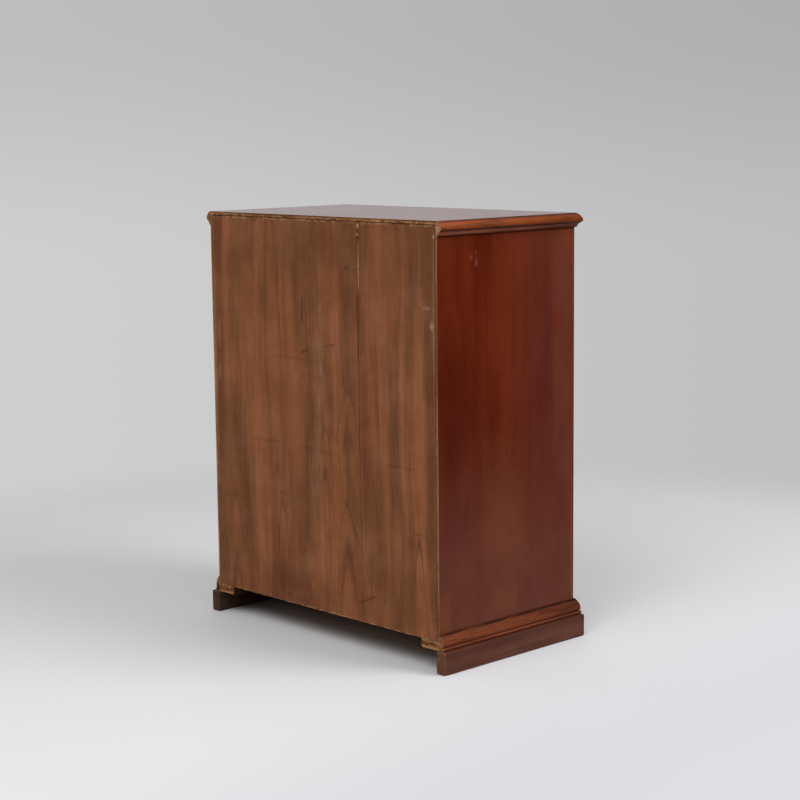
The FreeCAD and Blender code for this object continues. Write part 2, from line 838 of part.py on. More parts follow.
# The carcase, its base, mouldings and inside
def carcase_nodes(hinge_gains):
    places = nail_places()
    holes = [nail(x, z, nail_gap) for x, z in places]
    bottom = bottom_board()
    top_rail = front_rail(top_rail_z, top_under_z)
    drawer_rail = front_rail(door_head_z, drawer_sill_z)
    dust = dust_board()
    right = side_right([bottom, top_rail, drawer_rail] + hinge_gains + holes)
    left = mirrored(right)
    wide_back, narrow_back = back_boards(holes)
    plinth_left, plinth_right, plinth_front = plinth()
    rail_left, rail_right, rail_front = base_rails()
    base_left, base_right, base_front = moulding(base_moulding_outline, plinth_height, base_moulding_height)
    foot = overall_height - top_moulding_height
    top_left, top_right, top_front = moulding(top_moulding_outline, foot, top_moulding_height)
    shelf_lower, shelf_upper = [shelf(z) for z in shelf_feet()]
    stop_top_z = drawer_floor_z - drawer_stop_gap
    return {
        "side_left": left,
        "side_right": right,
        "front_lippings": pair(lipping_right(hinge_gains)),
        "top_board": top_board([left, right] + holes),
        "bottom_board": bottom.cut(holes),
        "top_moulding_left": top_left,
        "top_moulding_right": top_right,
        "top_moulding_front": top_front,
        "base_rail_left": rail_left,
        "base_rail_right": rail_right,
        "base_rail_front": rail_front,
        "base_moulding_left": base_left,
        "base_moulding_right": base_right,
        "base_moulding_front": base_front,
        "plinth_left": plinth_left,
        "plinth_right": plinth_right,
        "plinth_front": plinth_front,
        "plinth_glue_blocks": plinth_glue_blocks(),
        "back_board_wide": wide_back,
        "back_board_narrow": narrow_back,
        "back_nails": Part.makeCompound([nail(x, z, 0) for x, z in places]),
        "top_rail": top_rail,
        "drawer_rail": drawer_rail.cut([dust, slide_hole()]),
        "drawer_runners": pair(side_strip_right(door_head_z, drawer_sill_z).cut(dust)),
        "drawer_kickers": pair(side_strip_right(top_rail_z, top_under_z)),
        "drawer_stops": front_stops(drawer_front_back_y + stop_gap, drawer_sill_z, stop_top_z),
        "dust_board": dust,
        "shelf_lower": shelf_lower,
        "shelf_upper": shelf_upper,
        "shelf_bearers": shelf_bearers(),
        "door_stops": front_stops(door_back_y + stop_gap, door_head_z - stop_depth, door_head_z),
    }


# The drawer and its knobs
def drawer_nodes():
    front, left, right, back, floor = drawer_parts()
    right_knob = knob(drawer_knob_spacing / 2, drawer_knob_z, drawer_knob_radius, drawer_knob_projection)
    return {
        "drawer_front": front,
        "drawer_side_left": left,
        "drawer_side_right": right,
        "drawer_back": back,
        "drawer_bottom": floor,
        "drawer_knobs": pair(right_knob),
    }


# Both doors with their hinges, lock and slide bolt
def door_nodes(jamb_plates, door_plates):
    frame = door_parts(door_plates)
    nodes = {"door_left_" + name: mirrored(shape) for name, shape in frame.items()}
    nodes.update({"door_right_" + name: shape for name, shape in frame.items()})
    right_stile = frame["meeting_stile"]
    nodes["door_right_meeting_stile"] = right_stile.cut(keyhole(front_y, door_back_y))
    right_knob = knob(stile_middle_x, door_knob_z, door_knob_radius, door_knob_projection)
    jamb_leaves = []
    door_leaves = []
    pins = []
    for foot, jamb_plate, door_plate in zip(hinge_feet, jamb_plates, door_plates):
        jamb_leaves.append(hinge_leaf(jamb_plate, foot, 0, hinge_pin_fixed_gap))
        door_leaves.append(hinge_leaf(door_plate, foot, 1, hinge_pin_running_gap))
        pins.append(hinge_pin(foot))
    nodes["hinge_jamb_leaves"] = Part.makeCompound([pair(leaf) for leaf in jamb_leaves])
    nodes["hinge_pins"] = Part.makeCompound([pair(pin) for pin in pins])
    nodes["door_left_hinge_leaves"] = Part.makeCompound([mirrored(leaf) for leaf in door_leaves])
    nodes["door_right_hinge_leaves"] = Part.makeCompound(door_leaves)
    nodes["door_left_knob"] = mirrored(right_knob)
    nodes["door_right_knob"] = right_knob
    nodes["door_left_bolt_plate"] = slide_plate()
    nodes["door_left_bolt"] = slide_rod()
    nodes["lock_keeper"] = lock_keeper()
    nodes["lock_case"] = lock_case()
    nodes["lock_bolt"] = lock_bolt(0)
    nodes["escutcheon"] = escutcheon()
    nodes["key"] = key()
    return nodes


# Builds every piece and writes one file for each
def main():
    jamb_plates = [hinge_plate(hinge_x + hinge_leaf_step, foot) for foot in hinge_feet]
    door_plate_x = hinge_x - hinge_leaf_step - hinge_leaf_thickness
    door_plates = [hinge_plate(door_plate_x, foot) for foot in hinge_feet]
    nodes = carcase_nodes(jamb_plates)
    nodes.update(drawer_nodes())
    nodes.update(door_nodes(jamb_plates, door_plates))
    os.makedirs("parts", exist_ok=True)
    for name, shape in nodes.items():
        solids = shape.Solids
        whole = solids[0] if len(solids) == 1 else Part.makeCompound(solids)
        whole.exportStep("parts/" + name + ".step")


main()
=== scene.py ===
import bpy
import json
from math import radians
from mathutils import Euler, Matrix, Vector

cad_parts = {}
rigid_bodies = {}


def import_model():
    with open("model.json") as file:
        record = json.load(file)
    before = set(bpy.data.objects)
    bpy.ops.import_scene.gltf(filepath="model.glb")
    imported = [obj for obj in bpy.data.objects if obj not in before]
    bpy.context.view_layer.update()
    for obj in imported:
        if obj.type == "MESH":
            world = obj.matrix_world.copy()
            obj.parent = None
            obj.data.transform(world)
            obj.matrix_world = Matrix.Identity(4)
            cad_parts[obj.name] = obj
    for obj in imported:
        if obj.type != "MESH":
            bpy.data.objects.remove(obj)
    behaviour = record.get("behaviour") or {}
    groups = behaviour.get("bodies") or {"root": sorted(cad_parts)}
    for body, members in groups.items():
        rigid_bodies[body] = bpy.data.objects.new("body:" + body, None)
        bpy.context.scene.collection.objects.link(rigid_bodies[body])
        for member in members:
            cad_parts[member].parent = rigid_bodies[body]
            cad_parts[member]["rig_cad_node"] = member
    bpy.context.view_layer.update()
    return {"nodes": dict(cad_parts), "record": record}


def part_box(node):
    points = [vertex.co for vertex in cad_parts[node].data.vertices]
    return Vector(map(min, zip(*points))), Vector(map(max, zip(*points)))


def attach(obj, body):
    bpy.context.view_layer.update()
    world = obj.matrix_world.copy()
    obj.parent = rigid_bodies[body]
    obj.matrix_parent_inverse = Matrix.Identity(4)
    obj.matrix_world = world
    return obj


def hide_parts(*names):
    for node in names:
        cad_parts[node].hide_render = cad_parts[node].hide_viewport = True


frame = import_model()
nodes = frame["nodes"]
record = frame["record"]
bodyOf = {node: body for body, held in record["behaviour"]["bodies"].items() for node in held}
slotOf = {part["node"]: part["material_slot"] for part in record["subparts"]}
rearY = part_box("back_board_wide")[1].y  # the plane of the boarded back
print("frame loaded:", len(nodes), "nodes")


# Node helpers: each adds nodes to the tree of the outputs it is fed with, and hands back an output

def tint(code):  # a colour as it looks on screen, made linear
    parts = [int(code[n:n + 2], 16) / 255 for n in (1, 3, 5)]
    return tuple(c / 12.92 if c <= 0.04045 else ((c + 0.055) / 1.055) ** 2.4 for c in parts) + (1.0,)


def put(kind, feeds, **settings):
    tree = next(feed.id_data for feed in feeds.values() if isinstance(feed, bpy.types.NodeSocket))
    node = tree.nodes.new("ShaderNode" + kind)
    for key, value in settings.items():
        setattr(node, key, value)
    for key, value in feeds.items():
        if isinstance(value, bpy.types.NodeSocket):
            tree.links.new(value, node.inputs[key])
        else:
            node.inputs[key].default_value = tint(value) if isinstance(value, str) else value
    return node


def calc(operation, first, second=0.0):
    return put("Math", {0: first, 1: second}, operation=operation).outputs[0]


def times(product, *factors):
    for factor in factors:
        product = calc("MULTIPLY", product, factor)
    return product


def vectorCalc(operation, first, second=(0.0, 0.0, 0.0)):
    node = put("VectorMath", {0: first, 1: second}, operation=operation)
    return node.outputs["Value" if operation in ("LENGTH", "DOT_PRODUCT") else "Vector"]


def scaled(vector, amount):
    return put("VectorMath", {0: vector, "Scale": amount}, operation="SCALE").outputs[0]


def split(vector):
    return put("SeparateXYZ", {0: vector}).outputs


def fade(value, low, high, atLow=0.0, atHigh=1.0):
    feeds = {0: value, 1: low, 2: high, 3: atLow, 4: atHigh}
    return put("MapRange", feeds, interpolation_type="SMOOTHSTEP").outputs[0]


def fadeOut(value, low, high):
    return fade(value, low, high, 1.0, 0.0)


def blendColour(factor, first, second):
    return put("Mix", {0: factor, 6: first, 7: second}, data_type="RGBA").outputs[2]


def lay(colour, mask, share, tone):  # a tone over a colour, where the mask is
    return blendColour(times(mask, share), colour, tone)


def noise(point, stretch, detail=3.0, rough=0.55):
    stretched = vectorCalc("MULTIPLY", point, stretch)
    feeds = {"Vector": stretched, "Scale": 1.0, "Detail": detail, "Roughness": rough}
    return put("TexNoise", feeds).outputs[0]


def roughened(value, rough, middle, amount):  # pushed up and down by a noise about its middle
    return calc("ADD", value, times(calc("SUBTRACT", rough, middle), amount))


def makeGroup(name, vectors, numbers, outputs, wire):  # wire hands back a socket for each output
    tree = bpy.data.node_groups.new(name, "ShaderNodeTree")
    for label in vectors + numbers:
        kind = "NodeSocketVector" if label in vectors else "NodeSocketFloat"
        tree.interface.new_socket(label, in_out="INPUT", socket_type=kind)
    for label in outputs:
        tree.interface.new_socket(label, in_out="OUTPUT", socket_type="NodeSocketFloat")
    entry = tree.nodes.new("NodeGroupInput").outputs
    leave = tree.nodes.new("NodeGroupOutput").inputs
    for label, socket in zip(outputs, wire(entry, entry["Point"])):
        tree.links.new(socket, leave[label])
    return tree


def useGroup(group, feeds):
    return put("Group", feeds, node_tree=group).outputs


# Effects that several finishes share

# Grain along Z: waves per metre across it and along it, detail and roughness of each layer
grainLook = {"drift": (2.5, 2.5, 1.6), "poreEdge": (0.60, 0.74),
             "layers": {"Bands": (16.0, 0.7, 3.0, 0.55), "Streaks": (70.0, 1.6, 4.0, 0.60),
                        "Fibres": (340.0, 7.0, 4.0, 0.65), "Pores": (850.0, 26.0, 2.0, 0.55)}}


def wireGrain(entry, point):
    slow = vectorCalc("MULTIPLY", point, grainLook["drift"])
    drift = put("TexNoise", {"Vector": slow, "Scale": 1.0, "Detail": 2.0}).outputs["Color"]
    drift = scaled(vectorCalc("SUBTRACT", drift, (0.5, 0.5, 0.5)), entry["Wander"])
    sideways = vectorCalc("MULTIPLY", drift, (1.0, 1.0, 0.0))
    point = scaled(vectorCalc("ADD", point, sideways), entry["Fineness"])
    shorten = put("CombineXYZ", {0: 1.0, 1: 1.0, 2: entry["Shortness"]}).outputs[0]
    point = vectorCalc("MULTIPLY", point, shorten)
    layers = [noise(point, (across, across, along), detail, rough)
              for across, along, detail, rough in grainLook["layers"].values()]
    layers[-1] = fade(layers[-1], *grainLook["poreEdge"])  # pores are dots with clean edges
    return layers


# Nested pointed arches, as where a board was sawn flat through the rings
archLook = {"wobble": (14.0, 14.0, 4.0), "wander": 0.22, "ringSpread": 4.0, "uneven": 0.5, "rim": 0.05,
            "edge": (-0.05, 0.12), "foot": (0.5, 1.3),
            "breaks": (30.0, 30.0, 9.0), "broken": (0.30, 0.55, 0.45, 1.0)}


def wireArch(entry, point):
    look = archLook
    away = split(vectorCalc("SUBTRACT", point, entry["Apex"]))
    across = calc("ABSOLUTE", calc("DIVIDE", away[0], entry["Half Width"]))
    below = calc("DIVIDE", times(away[2], -1.0), entry["Height"])
    depth = calc("SUBTRACT", below, calc("POWER", across, 2.0))
    depth = roughened(depth, noise(point, look["wobble"], 2.0), 0.5, look["wander"])
    rings = put("CombineXYZ", {0: times(depth, look["ringSpread"])}).outputs[0]
    uneven = times(noise(rings, (1.0, 1.0, 1.0), 2.0), look["uneven"])
    wave = calc("SINE", times(calc("ADD", depth, uneven), entry["Lines"]))
    inside = times(fade(depth, *look["edge"]), fadeOut(below, *look["foot"]))
    broken = fade(noise(point, look["breaks"]), *look["broken"])
    fromRim = calc("ABSOLUTE", calc("SUBTRACT", depth, look["rim"]))
    line = calc("MAXIMUM", fade(wave, 0.0, 1.0), fadeOut(fromRim, 0.0, look["rim"]))
    return times(line, broken, inside), inside


# A scratch from one place to another, thinner towards its ends
scoreLook = {"endShare": 0.3, "edge": (0.0, 0.8), "grit": (150.0, 150.0, 150.0), "gritEdge": (0.25, 0.6)}


def wireScore(entry, point):
    look = scoreLook
    run = vectorCalc("SUBTRACT", entry["End"], entry["Start"])
    reach = vectorCalc("SUBTRACT", point, entry["Start"])
    along, whole = (vectorCalc("DOT_PRODUCT", vector, run) for vector in (reach, run))
    share = put("Clamp", {0: calc("DIVIDE", along, whole)}).outputs[0]
    gap = vectorCalc("LENGTH", vectorCalc("SUBTRACT", reach, scaled(run, share)))
    taper = times(share, calc("SUBTRACT", 1.0, share), 4.0)  # one in the middle
    thickness = calc("ADD", times(taper, 1.0 - look["endShare"]), look["endShare"])
    room = times(entry["Width"], thickness)
    closeness = calc("SUBTRACT", 1.0, calc("DIVIDE", gap, room))
    grit = fade(noise(point, look["grit"]), *look["gritEdge"])
    return [times(fade(closeness, *look["edge"]), grit)]


# A soft patch round a place, with a ragged edge
smudgeLook = {"coarse": (120.0, 120.0, 60.0), "fine": (460.0, 460.0, 240.0), "edge": (0.25, 1.0)}


def wireSmudge(entry, point):
    away = vectorCalc("SUBTRACT", point, entry["Place"])
    size = vectorCalc("LENGTH", vectorCalc("DIVIDE", away, entry["Reach"]))
    coarse = noise(point, smudgeLook["coarse"])
    fine = noise(point, smudgeLook["fine"], 3.0, 0.7)
    rough = times(calc("ADD", coarse, fine), 0.5)
    size = roughened(size, rough, 0.5, entry["Ragged"])
    return [fadeOut(size, *smudgeLook["edge"])]


# Patches of dirt and rubbing, coarse and fine together
grimeLook = {"patches": (9.0, 9.0, 9.0), "specks": (210.0, 210.0, 210.0), "speckEdge": (0.62, 0.74)}


def wireGrime(entry, point):
    point = scaled(point, entry["Scale"])
    specks = noise(point, grimeLook["specks"], 2.0)
    return noise(point, grimeLook["patches"], 5.0, 0.6), fade(specks, *grimeLook["speckEdge"])


# A line of dirt or bare wood along one height or breadth, uneven or broken into dots
lineLook = {"middle": 0.45, "edge": (0.2, 1.0)}


def wireLine(entry, point):
    rough = noise(scaled(point, entry["Dots"]), (1.0, 1.0, 1.0), 4.0, 0.6)
    gap = calc("ABSOLUTE", calc("SUBTRACT", entry["Value"], entry["Place"]))
    share = calc("DIVIDE", gap, entry["Width"])
    share = roughened(share, rough, lineLook["middle"], entry["Ragged"])
    return [fadeOut(share, *lineLook["edge"])]


woodGrain = makeGroup("woodGrain", ["Point"], ["Wander", "Fineness", "Shortness"],
                      list(grainLook["layers"]), wireGrain)
archFigure = makeGroup("archFigure", ["Point", "Apex"], ["Half Width", "Height", "Lines"],
                       ["Line", "Inside"], wireArch)
scoreLine = makeGroup("scoreLine", ["Point", "Start", "End"], ["Width"], ["Mask"], wireScore)
smudge = makeGroup("smudge", ["Point", "Place", "Reach"], ["Ragged"], ["Mask"], wireSmudge)
grime = makeGroup("grime", ["Point"], ["Scale"], ["Patches", "Specks"], wireGrime)
edgeLine = makeGroup("edgeLine", ["Point"], ["Value", "Place", "Width", "Ragged", "Dots"],
                     ["Mask"], wireLine)
print("shared effects ready:", len(bpy.data.node_groups))


# What the finishes have in common

turnOfGrain = {"z": (0.0, 0.0, 0.0), "x": (0.0, radians(90), 0.0), "y": (radians(90), 0.0, 0.0)}
reliefStrength = 0.6


def startMaterial(name):
    material = bpy.data.materials.new(name)
    material.use_nodes = True
    tree = material.node_tree
    tree.nodes.clear()
    bsdf = tree.nodes.new("ShaderNodeBsdfPrincipled")
    put("OutputMaterial", {"Surface": bsdf.outputs[0]})
    place = tree.nodes.new("ShaderNodeTexCoord").outputs["Object"]
    return material, bsdf, place


def grainOn(place, grain, along="z", shift=(0.0, 0.0, 0.0)):
    feeds = {"Vector": place, "Location": shift, "Rotation": turnOfGrain[along]}
    turned = put("Mapping", feeds).outputs[0]
    return useGroup(woodGrain, {"Point": turned, **grain})


def dirtOn(place, scale=1.0):
    return useGroup(grime, {"Point": place, "Scale": scale})


def finishWith(bsdf, colour, roughness, height, ripple):
    bump = put("Bump", {"Height": height, "Strength": reliefStrength, "Distance": ripple}).outputs[0]
    for label, output in (("Base Color", colour), ("Roughness", roughness), ("Normal", bump)):
        bsdf.id_data.links.new(output, bsdf.inputs[label])


def finishWood(bsdf, look, colour, shade, roughness, grain):
    bsdf.inputs["Specular IOR Level"].default_value = look["gleam"]
    finishWith(bsdf, scaled(colour, shade), roughness, grain["Fibres"], look["ripple"])


def addLines(colour, place, lines):
    directions = split(place)
    for tone, direction, where, width, share, ragged, dots in lines:
        feeds = {"Point": place, "Value": directions[direction], "Place": where, "Width": width,
                 "Ragged": ragged, "Dots": dots}
        colour = lay(colour, useGroup(edgeLine, feeds)["Mask"], share, tone)
    return colour


def onBack(pair, depth=0.0):  # the (x, z) of a mark on the back
    return (pair[0], depth, pair[1])


def onSide(pair, depth=0.0):  # the (y, z) of a mark on a side
    return (depth, pair[0], pair[1])


def addSmudges(colour, flat, lift, marks, within=None):
    for tone, place, reach, share, ragged in marks:
        feeds = {"Point": flat, "Place": lift(place), "Reach": lift(reach, 1.0), "Ragged": ragged}
        mask = useGroup(smudge, feeds)["Mask"]
        if within is not None:
            mask = times(mask, within)
        colour = lay(colour, mask, share, tone)
    return colour


def addArch(colour, flat, arch, fill, ring):  # fill and ring: share, tone
    apex, halfWidth, height, lines = arch
    feeds = {"Point": flat, "Apex": onBack(apex), "Half Width": halfWidth, "Height": height, "Lines": lines}
    figure = useGroup(archFigure, feeds)
    return lay(lay(colour, figure["Inside"], *fill), figure["Line"], *ring)


# The boarded back: raw, dusty boards with old marks, each placed as (x, z)
backLook = {
    "tones": {"grey": "#643d25", "warm": "#855131", "red": "#603520", "stain": "#331c12",
              "chalk": "#85634b", "cream": "#c39b72", "bare": "#94653f", "ring": "#50301e"},
    "grain": {"Wander": 0.05, "Fineness": 1.5, "Shortness": 1.3},
    "bands": (0.32, 0.68), "redStreaks": (0.46, 0.70), "redShare": 0.38,
    "archFill": 0.25, "archRing": 0.75, "dust": (0.42, 0.66), "dustShare": 0.12, "dustRagged": 2.2,
    "dustStreaks": (0.42, 0.62), "dustGaps": (60.0, 60.0, 16.0), "dustBroken": (0.36, 0.62, 0.15, 1.0),
    "flecks": (170.0, 170.0, 13.0),
    "fibreShade": (0.25, 0.75, 0.89, 1.09), "patchShade": (0.3, 0.7, 0.87, 1.10),
    "fleckShade": (0.34, 0.66, 0.94, 1.07), "poreShade": 0.08,
    "rough": (0.2, 0.8, 0.74, 0.92), "ripple": 0.0006, "gleam": 0.12,
    "smudges": [  # tone, place, reach, share, raggedness
        ("grey", (0.382, 0.55), (0.026, 0.7), 0.8, 0.5),
        ("red", (0.385, 0.97), (0.03, 0.12), 0.45, 0.7),
        ("grey", (0.3, 0.93), (0.035, 0.22), 0.45, 0.6),
        ("warm", (0.255, 0.72), (0.06, 0.3), 0.5, 0.6),
        ("warm", (0.215, 0.44), (0.035, 0.22), 0.45, 0.6),
        ("warm", (0.172, 0.72), (0.034, 0.38), 0.75, 0.5),
        ("grey", (0.08, 0.31), (0.04, 0.17), 0.6, 0.5),
        ("warm", (0.086, 0.56), (0.066, 0.21), 0.85, 0.6),
        ("grey", (0.07, 0.975), (0.15, 0.12), 0.8, 0.6),
        ("red", (-0.09, 0.96), (0.09, 0.12), 0.65, 0.7),
        ("red", (-0.168, 0.52), (0.032, 0.22), 0.65, 0.6),
        ("grey", (-0.118, 0.29), (0.046, 0.16), 0.7, 0.6),
        ("warm", (-0.274, 0.25), (0.024, 0.18), 0.7, 0.5),
        ("grey", (-0.322, 0.24), (0.022, 0.19), 0.85, 0.5),
        ("grey", (-0.22, 0.21), (0.03, 0.22), 0.75, 0.5),
        ("grey", (0.396, 0.16), (0.038, 0.24), 0.85, 0.5),
        ("red", (0.11, 0.115), (0.19, 0.095), 0.65, 0.8),
        ("grey", (0.02, 0.52), (0.04, 0.24), 0.45, 0.7),
        ("grey", (0.04, 0.88), (0.05, 0.1), 0.4, 0.8),
        ("grey", (-0.112, 0.94), (0.03, 0.24), 0.75, 0.5),
        ("red", (-0.125, 0.62), (0.018, 0.3), 0.35, 0.6),
        ("grey", (-0.386, 0.6), (0.02, 0.55), 0.9, 0.5),
        ("grey", (-0.36, 0.95), (0.05, 0.14), 0.45, 0.7),
        ("grey", (-0.19, 0.33), (0.04, 0.25), 0.45, 0.6),
        ("grey", (-0.29, 0.16), (0.07, 0.1), 0.45, 0.8),
        ("warm", (-0.065, 0.87), (0.018, 0.12), 0.8, 0.5),
        ("warm", (-0.343, 0.62), (0.018, 0.3), 0.85, 0.5),
        ("grey", (-0.1, 0.7), (0.038, 0.18), 0.45, 0.6),
        ("warm", (-0.24, 0.86), (0.06, 0.24), 0.6, 0.6),
        ("warm", (-0.06, 0.3), (0.03, 0.16), 0.4, 0.7),
        ("warm", (0.33, 0.3), (0.03, 0.2), 0.4, 0.7),
        ("red", (0.146, 0.16), (0.05, 0.07), 0.42, 1.4),
        ("stain", (0.148, 0.114), (0.006, 0.018), 0.28, 1.6),
        ("stain", (0.124, 0.098), (0.014, 0.006), 0.28, 1.6),
        ("stain", (-0.105, 0.929), (0.009, 0.007), 0.85, 2.4),
        ("chalk", (-0.374, 0.851), (0.02, 0.006), 0.75, 1.3),
        ("chalk", (-0.357, 0.862), (0.005, 0.014), 0.4, 1.3),
        ("cream", (-0.394, 0.812), (0.007, 0.016), 0.42, 7.0),
        ("chalk", (-0.397, 0.775), (0.007, 0.03), 0.5, 4.0),
        ("chalk", (0.384, 0.74), (0.006, 0.06), 0.6, 1.5),
        ("chalk", (0.386, 0.64), (0.008, 0.03), 0.4, 1.6),
        ("bare", (0.05, 0.18), (0.03, 0.05), 0.22, 1.2),
        ("warm", (0.032, 0.135), (0.016, 0.014), 0.5, 1.2),
        ("cream", (-0.1466, 1.0315), (0.0048, 0.0085), 0.95, 1.0),
        ("cream", (-0.1452, 1.011), (0.0034, 0.0065), 0.8, 1.2),
        ("stain", (-0.1486, 1.016), (0.0036, 0.007), 0.85, 0.9),
        ("stain", (-0.1474, 1.003), (0.0042, 0.0045), 0.85, 0.9),
        ("chalk", (-0.2, 1.012), (0.004, 0.016), 0.4, 1.4),
        ("stain", (0.235, 1.032), (0.012, 0.004), 0.5, 1.4),
        ("stain", (-0.28, 1.028), (0.012, 0.004), 0.5, 1.4),
        ("stain", (-0.177, 1.029), (0.012, 0.004), 0.35, 1.4),
        ("cream", (-0.401, 1.014), (0.005, 0.006), 0.6, 1.4),
        ("bare", (0.4005, 0.66), (0.0075, 0.42), 0.55, 1.0),
        ("chalk", (-0.4005, 0.84), (0.008, 0.24), 0.45, 1.2),
        ("chalk", (-0.033, 0.855), (0.018, 0.005), 0.4, 1.6),
        ("stain", (-0.24, 0.7), (0.004, 0.012), 0.4, 1.2),
        ("stain", (-0.102, 0.709), (0.003, 0.01), 0.6, 1.2),
        ("stain", (-0.163, 0.752), (0.0026, 0.0036), 0.6, 1.2),
    ],
    "dusty": [  # place, reach, share: pale dust that lies along the grain
        ((0.0, 0.72), (0.026, 0.2), 0.62),
        ((0.012, 0.8), (0.034, 0.12), 0.45),
        ((-0.004, 0.57), (0.034, 0.16), 0.65),
        ((0.01, 0.4), (0.05, 0.2), 0.55),
        ((0.3, 0.66), (0.06, 0.3), 0.2),
        ((-0.27, 0.62), (0.06, 0.34), 0.15),
    ],
    "scores": [  # tone, start, end, width, share
        ("stain", (0.055, 0.85), (0.06, 0.786), 0.0046, 0.85),
        ("stain", (0.07, 0.712), (0.034, 0.724), 0.0036, 0.7),
        ("stain", (-0.023, 0.736), (-0.064, 0.744), 0.0036, 0.65),
        ("stain", (0.19, 0.7), (-0.004, 0.696), 0.005, 0.26),
        ("stain", (0.046, 0.53), (0.05, 0.24), 0.004, 0.45),
        ("stain", (0.27, 0.48), (0.15, 0.483), 0.0085, 0.3),
        ("stain", (0.11, 0.48), (-0.06, 0.476), 0.007, 0.24),
        ("stain", (-0.226, 0.473), (-0.33, 0.471), 0.0065, 0.32),
        ("stain", (-0.127, 0.117), (-0.2, 0.147), 0.0042, 0.55),
        ("ring", (-0.09, 0.366), (-0.15, 0.248), 0.0055, 0.6),
        ("ring", (-0.146, 0.256), (-0.184, 0.153), 0.0055, 0.45),
        ("ring", (0.16, 0.357), (0.123, 0.35), 0.005, 0.6),
        ("ring", (-0.326, 0.322), (-0.364, 0.319), 0.0055, 0.6),
        ("cream", (-0.1476, 0.992), (-0.1472, 0.87), 0.003, 0.7),
        ("stain", (-0.1442, 1.04), (-0.1444, 0.42), 0.0032, 0.7),
        ("stain", (-0.005, 0.885), (-0.003, 0.86), 0.003, 0.5),
        ("red", (-0.11, 0.6), (-0.085, 0.47), 0.007, 0.5),
        ("red", (0.02, 0.62), (0.025, 0.5), 0.006, 0.45),
        ("red", (0.31, 0.76), (0.302, 0.56), 0.007, 0.4),
        ("red", (-0.19, 0.44), (-0.225, 0.2), 0.008, 0.5),
    ],
    "arches": [  # apex, half width, height, lines
        ((-0.098, 0.372), 0.044, 0.26, 10.0),
        ((0.144, 0.354), 0.024, 0.2, 6.0),
        ((-0.346, 0.322), 0.022, 0.18, 6.0),
        ((0.33, 0.34), 0.036, 0.26, 8.0),
        ((-0.02, 0.545), 0.03, 0.16, 8.0),
        ((-0.103, 0.646), 0.045, 0.15, 7.0),
    ],
    "lines": [  # tone, direction (0 across, 2 up), place, width, share, raggedness, dots
        # the first three lines are painted shade of the gaps at the boards' outer edges and under the top
        ("#331c12", 0, 0.404, 0.0024, 0.3, 4.0, 60.0),
        ("#331c12", 0, -0.404, 0.002, 0.35, 5.0, 90.0),
        ("#331c12", 2, 1.0404, 0.003, 0.6, 7.0, 60.0),
        ("#c39b72", 2, 1.0386, 0.003, 0.28, 9.0, 70.0),
        ("#b08258", 2, 0.075, 0.0026, 0.6, 9.0, 60.0),
    ],
}


def makeBackWood(bsdf, place, look, along):
    tones = look["tones"]
    grain = grainOn(place, look["grain"], along)
    dirt = dirtOn(place)
    flat = vectorCalc("MULTIPLY", place, onBack((1.0, 1.0)))
    colour = blendColour(fade(grain["Bands"], *look["bands"]), tones["grey"], tones["warm"])
    reddish = fade(grain["Streaks"], *look["redStreaks"])
    colour = lay(colour, reddish, look["redShare"], tones["red"])
    smudges = [(tones[tone], *mark) for tone, *mark in look["smudges"]]
    colour = addSmudges(colour, flat, onBack, smudges)
    fill, ring = (look["archFill"], tones["warm"]), (look["archRing"], tones["ring"])
    for arch in look["arches"]:
        colour = addArch(colour, flat, arch, fill, ring)
    broken = fade(noise(place, look["dustGaps"], 4.0, 0.6), *look["dustBroken"])
    streaky = times(fadeOut(grain["Streaks"], *look["dustStreaks"]), broken)
    dusty = [(tones["chalk"], *patch, look["dustRagged"]) for patch in look["dusty"]]
    colour = addSmudges(colour, flat, onBack, dusty, streaky)
    dust = fade(dirt["Patches"], *look["dust"])
    colour = lay(colour, dust, look["dustShare"], tones["chalk"])
    for tone, start, end, width, share in look["scores"]:
        feeds = {"Point": flat, "Start": onBack(start), "End": onBack(end), "Width": width}
        colour = lay(colour, useGroup(scoreLine, feeds)["Mask"], share, tones[tone])
    colour = addLines(colour, place, look["lines"])
    flecks = noise(place, look["flecks"], 4.0, 0.65)
    shade = times(fade(grain["Fibres"], *look["fibreShade"]),
                  fade(dirt["Patches"], *look["patchShade"]), fade(flecks, *look["fleckShade"]))
    shade = calc("SUBTRACT", shade, times(grain["Pores"], look["poreShade"]))
    rough = fade(grain["Fibres"], *look["rough"])
    finishWood(bsdf, look, colour, shade, rough, grain)


# Polished mahogany: the tones of its bands, what all of it shares, and where each kind differs
mahoganyLook = {
    "dark": "#4e1605", "light": "#60220c", "streak": "#3f1005", "fleck": "#7a3d1c",
    "grain": {"Wander": 0.03, "Fineness": 1.15, "Shortness": 1.4}, "shift": (0.15, 0.35, 0.05),
    "bands": (0.28, 0.72), "streaks": (0.46, 0.76), "flecks": (0.58, 0.72), "aged": False, "flamed": False,
    "contrast": 1.0, "streakShare": 0.40, "fleckShare": 0.30, "fibreDark": 0.16, "fibreLight": 0.12,
    "fibreRange": (0.25, 0.75), "poreShade": 0.18, "warmPatches": (0.4, 0.7), "warmth": 0.10,
    "patchRange": (0.3, 0.7), "gloss": (0.34, 0.48), "gleam": 0.2, "coat": 0.4, "coatRough": 0.16,
    "ripple": 0.00012,
}
mahoganyKinds = {
    "mahogany": {},
    "sideMahogany": {"shift": (0.0, 0.0, 0.0), "coat": 0.0, "gleam": 0.05, "contrast": 0.55, "aged": True},
    "topMahogany": {"along": "x", "shift": (0.4, 0.2, 0.0), "coat": 0.9, "ripple": 0.00003},
    "panelMahogany": {"shift": (0.3, 0.0, 0.1), "warmth": 0.15, "flamed": True},
    "drawerMahogany": {"along": "x", "shift": (0.1, 0.5, 0.2), "warmth": 0.15},
}


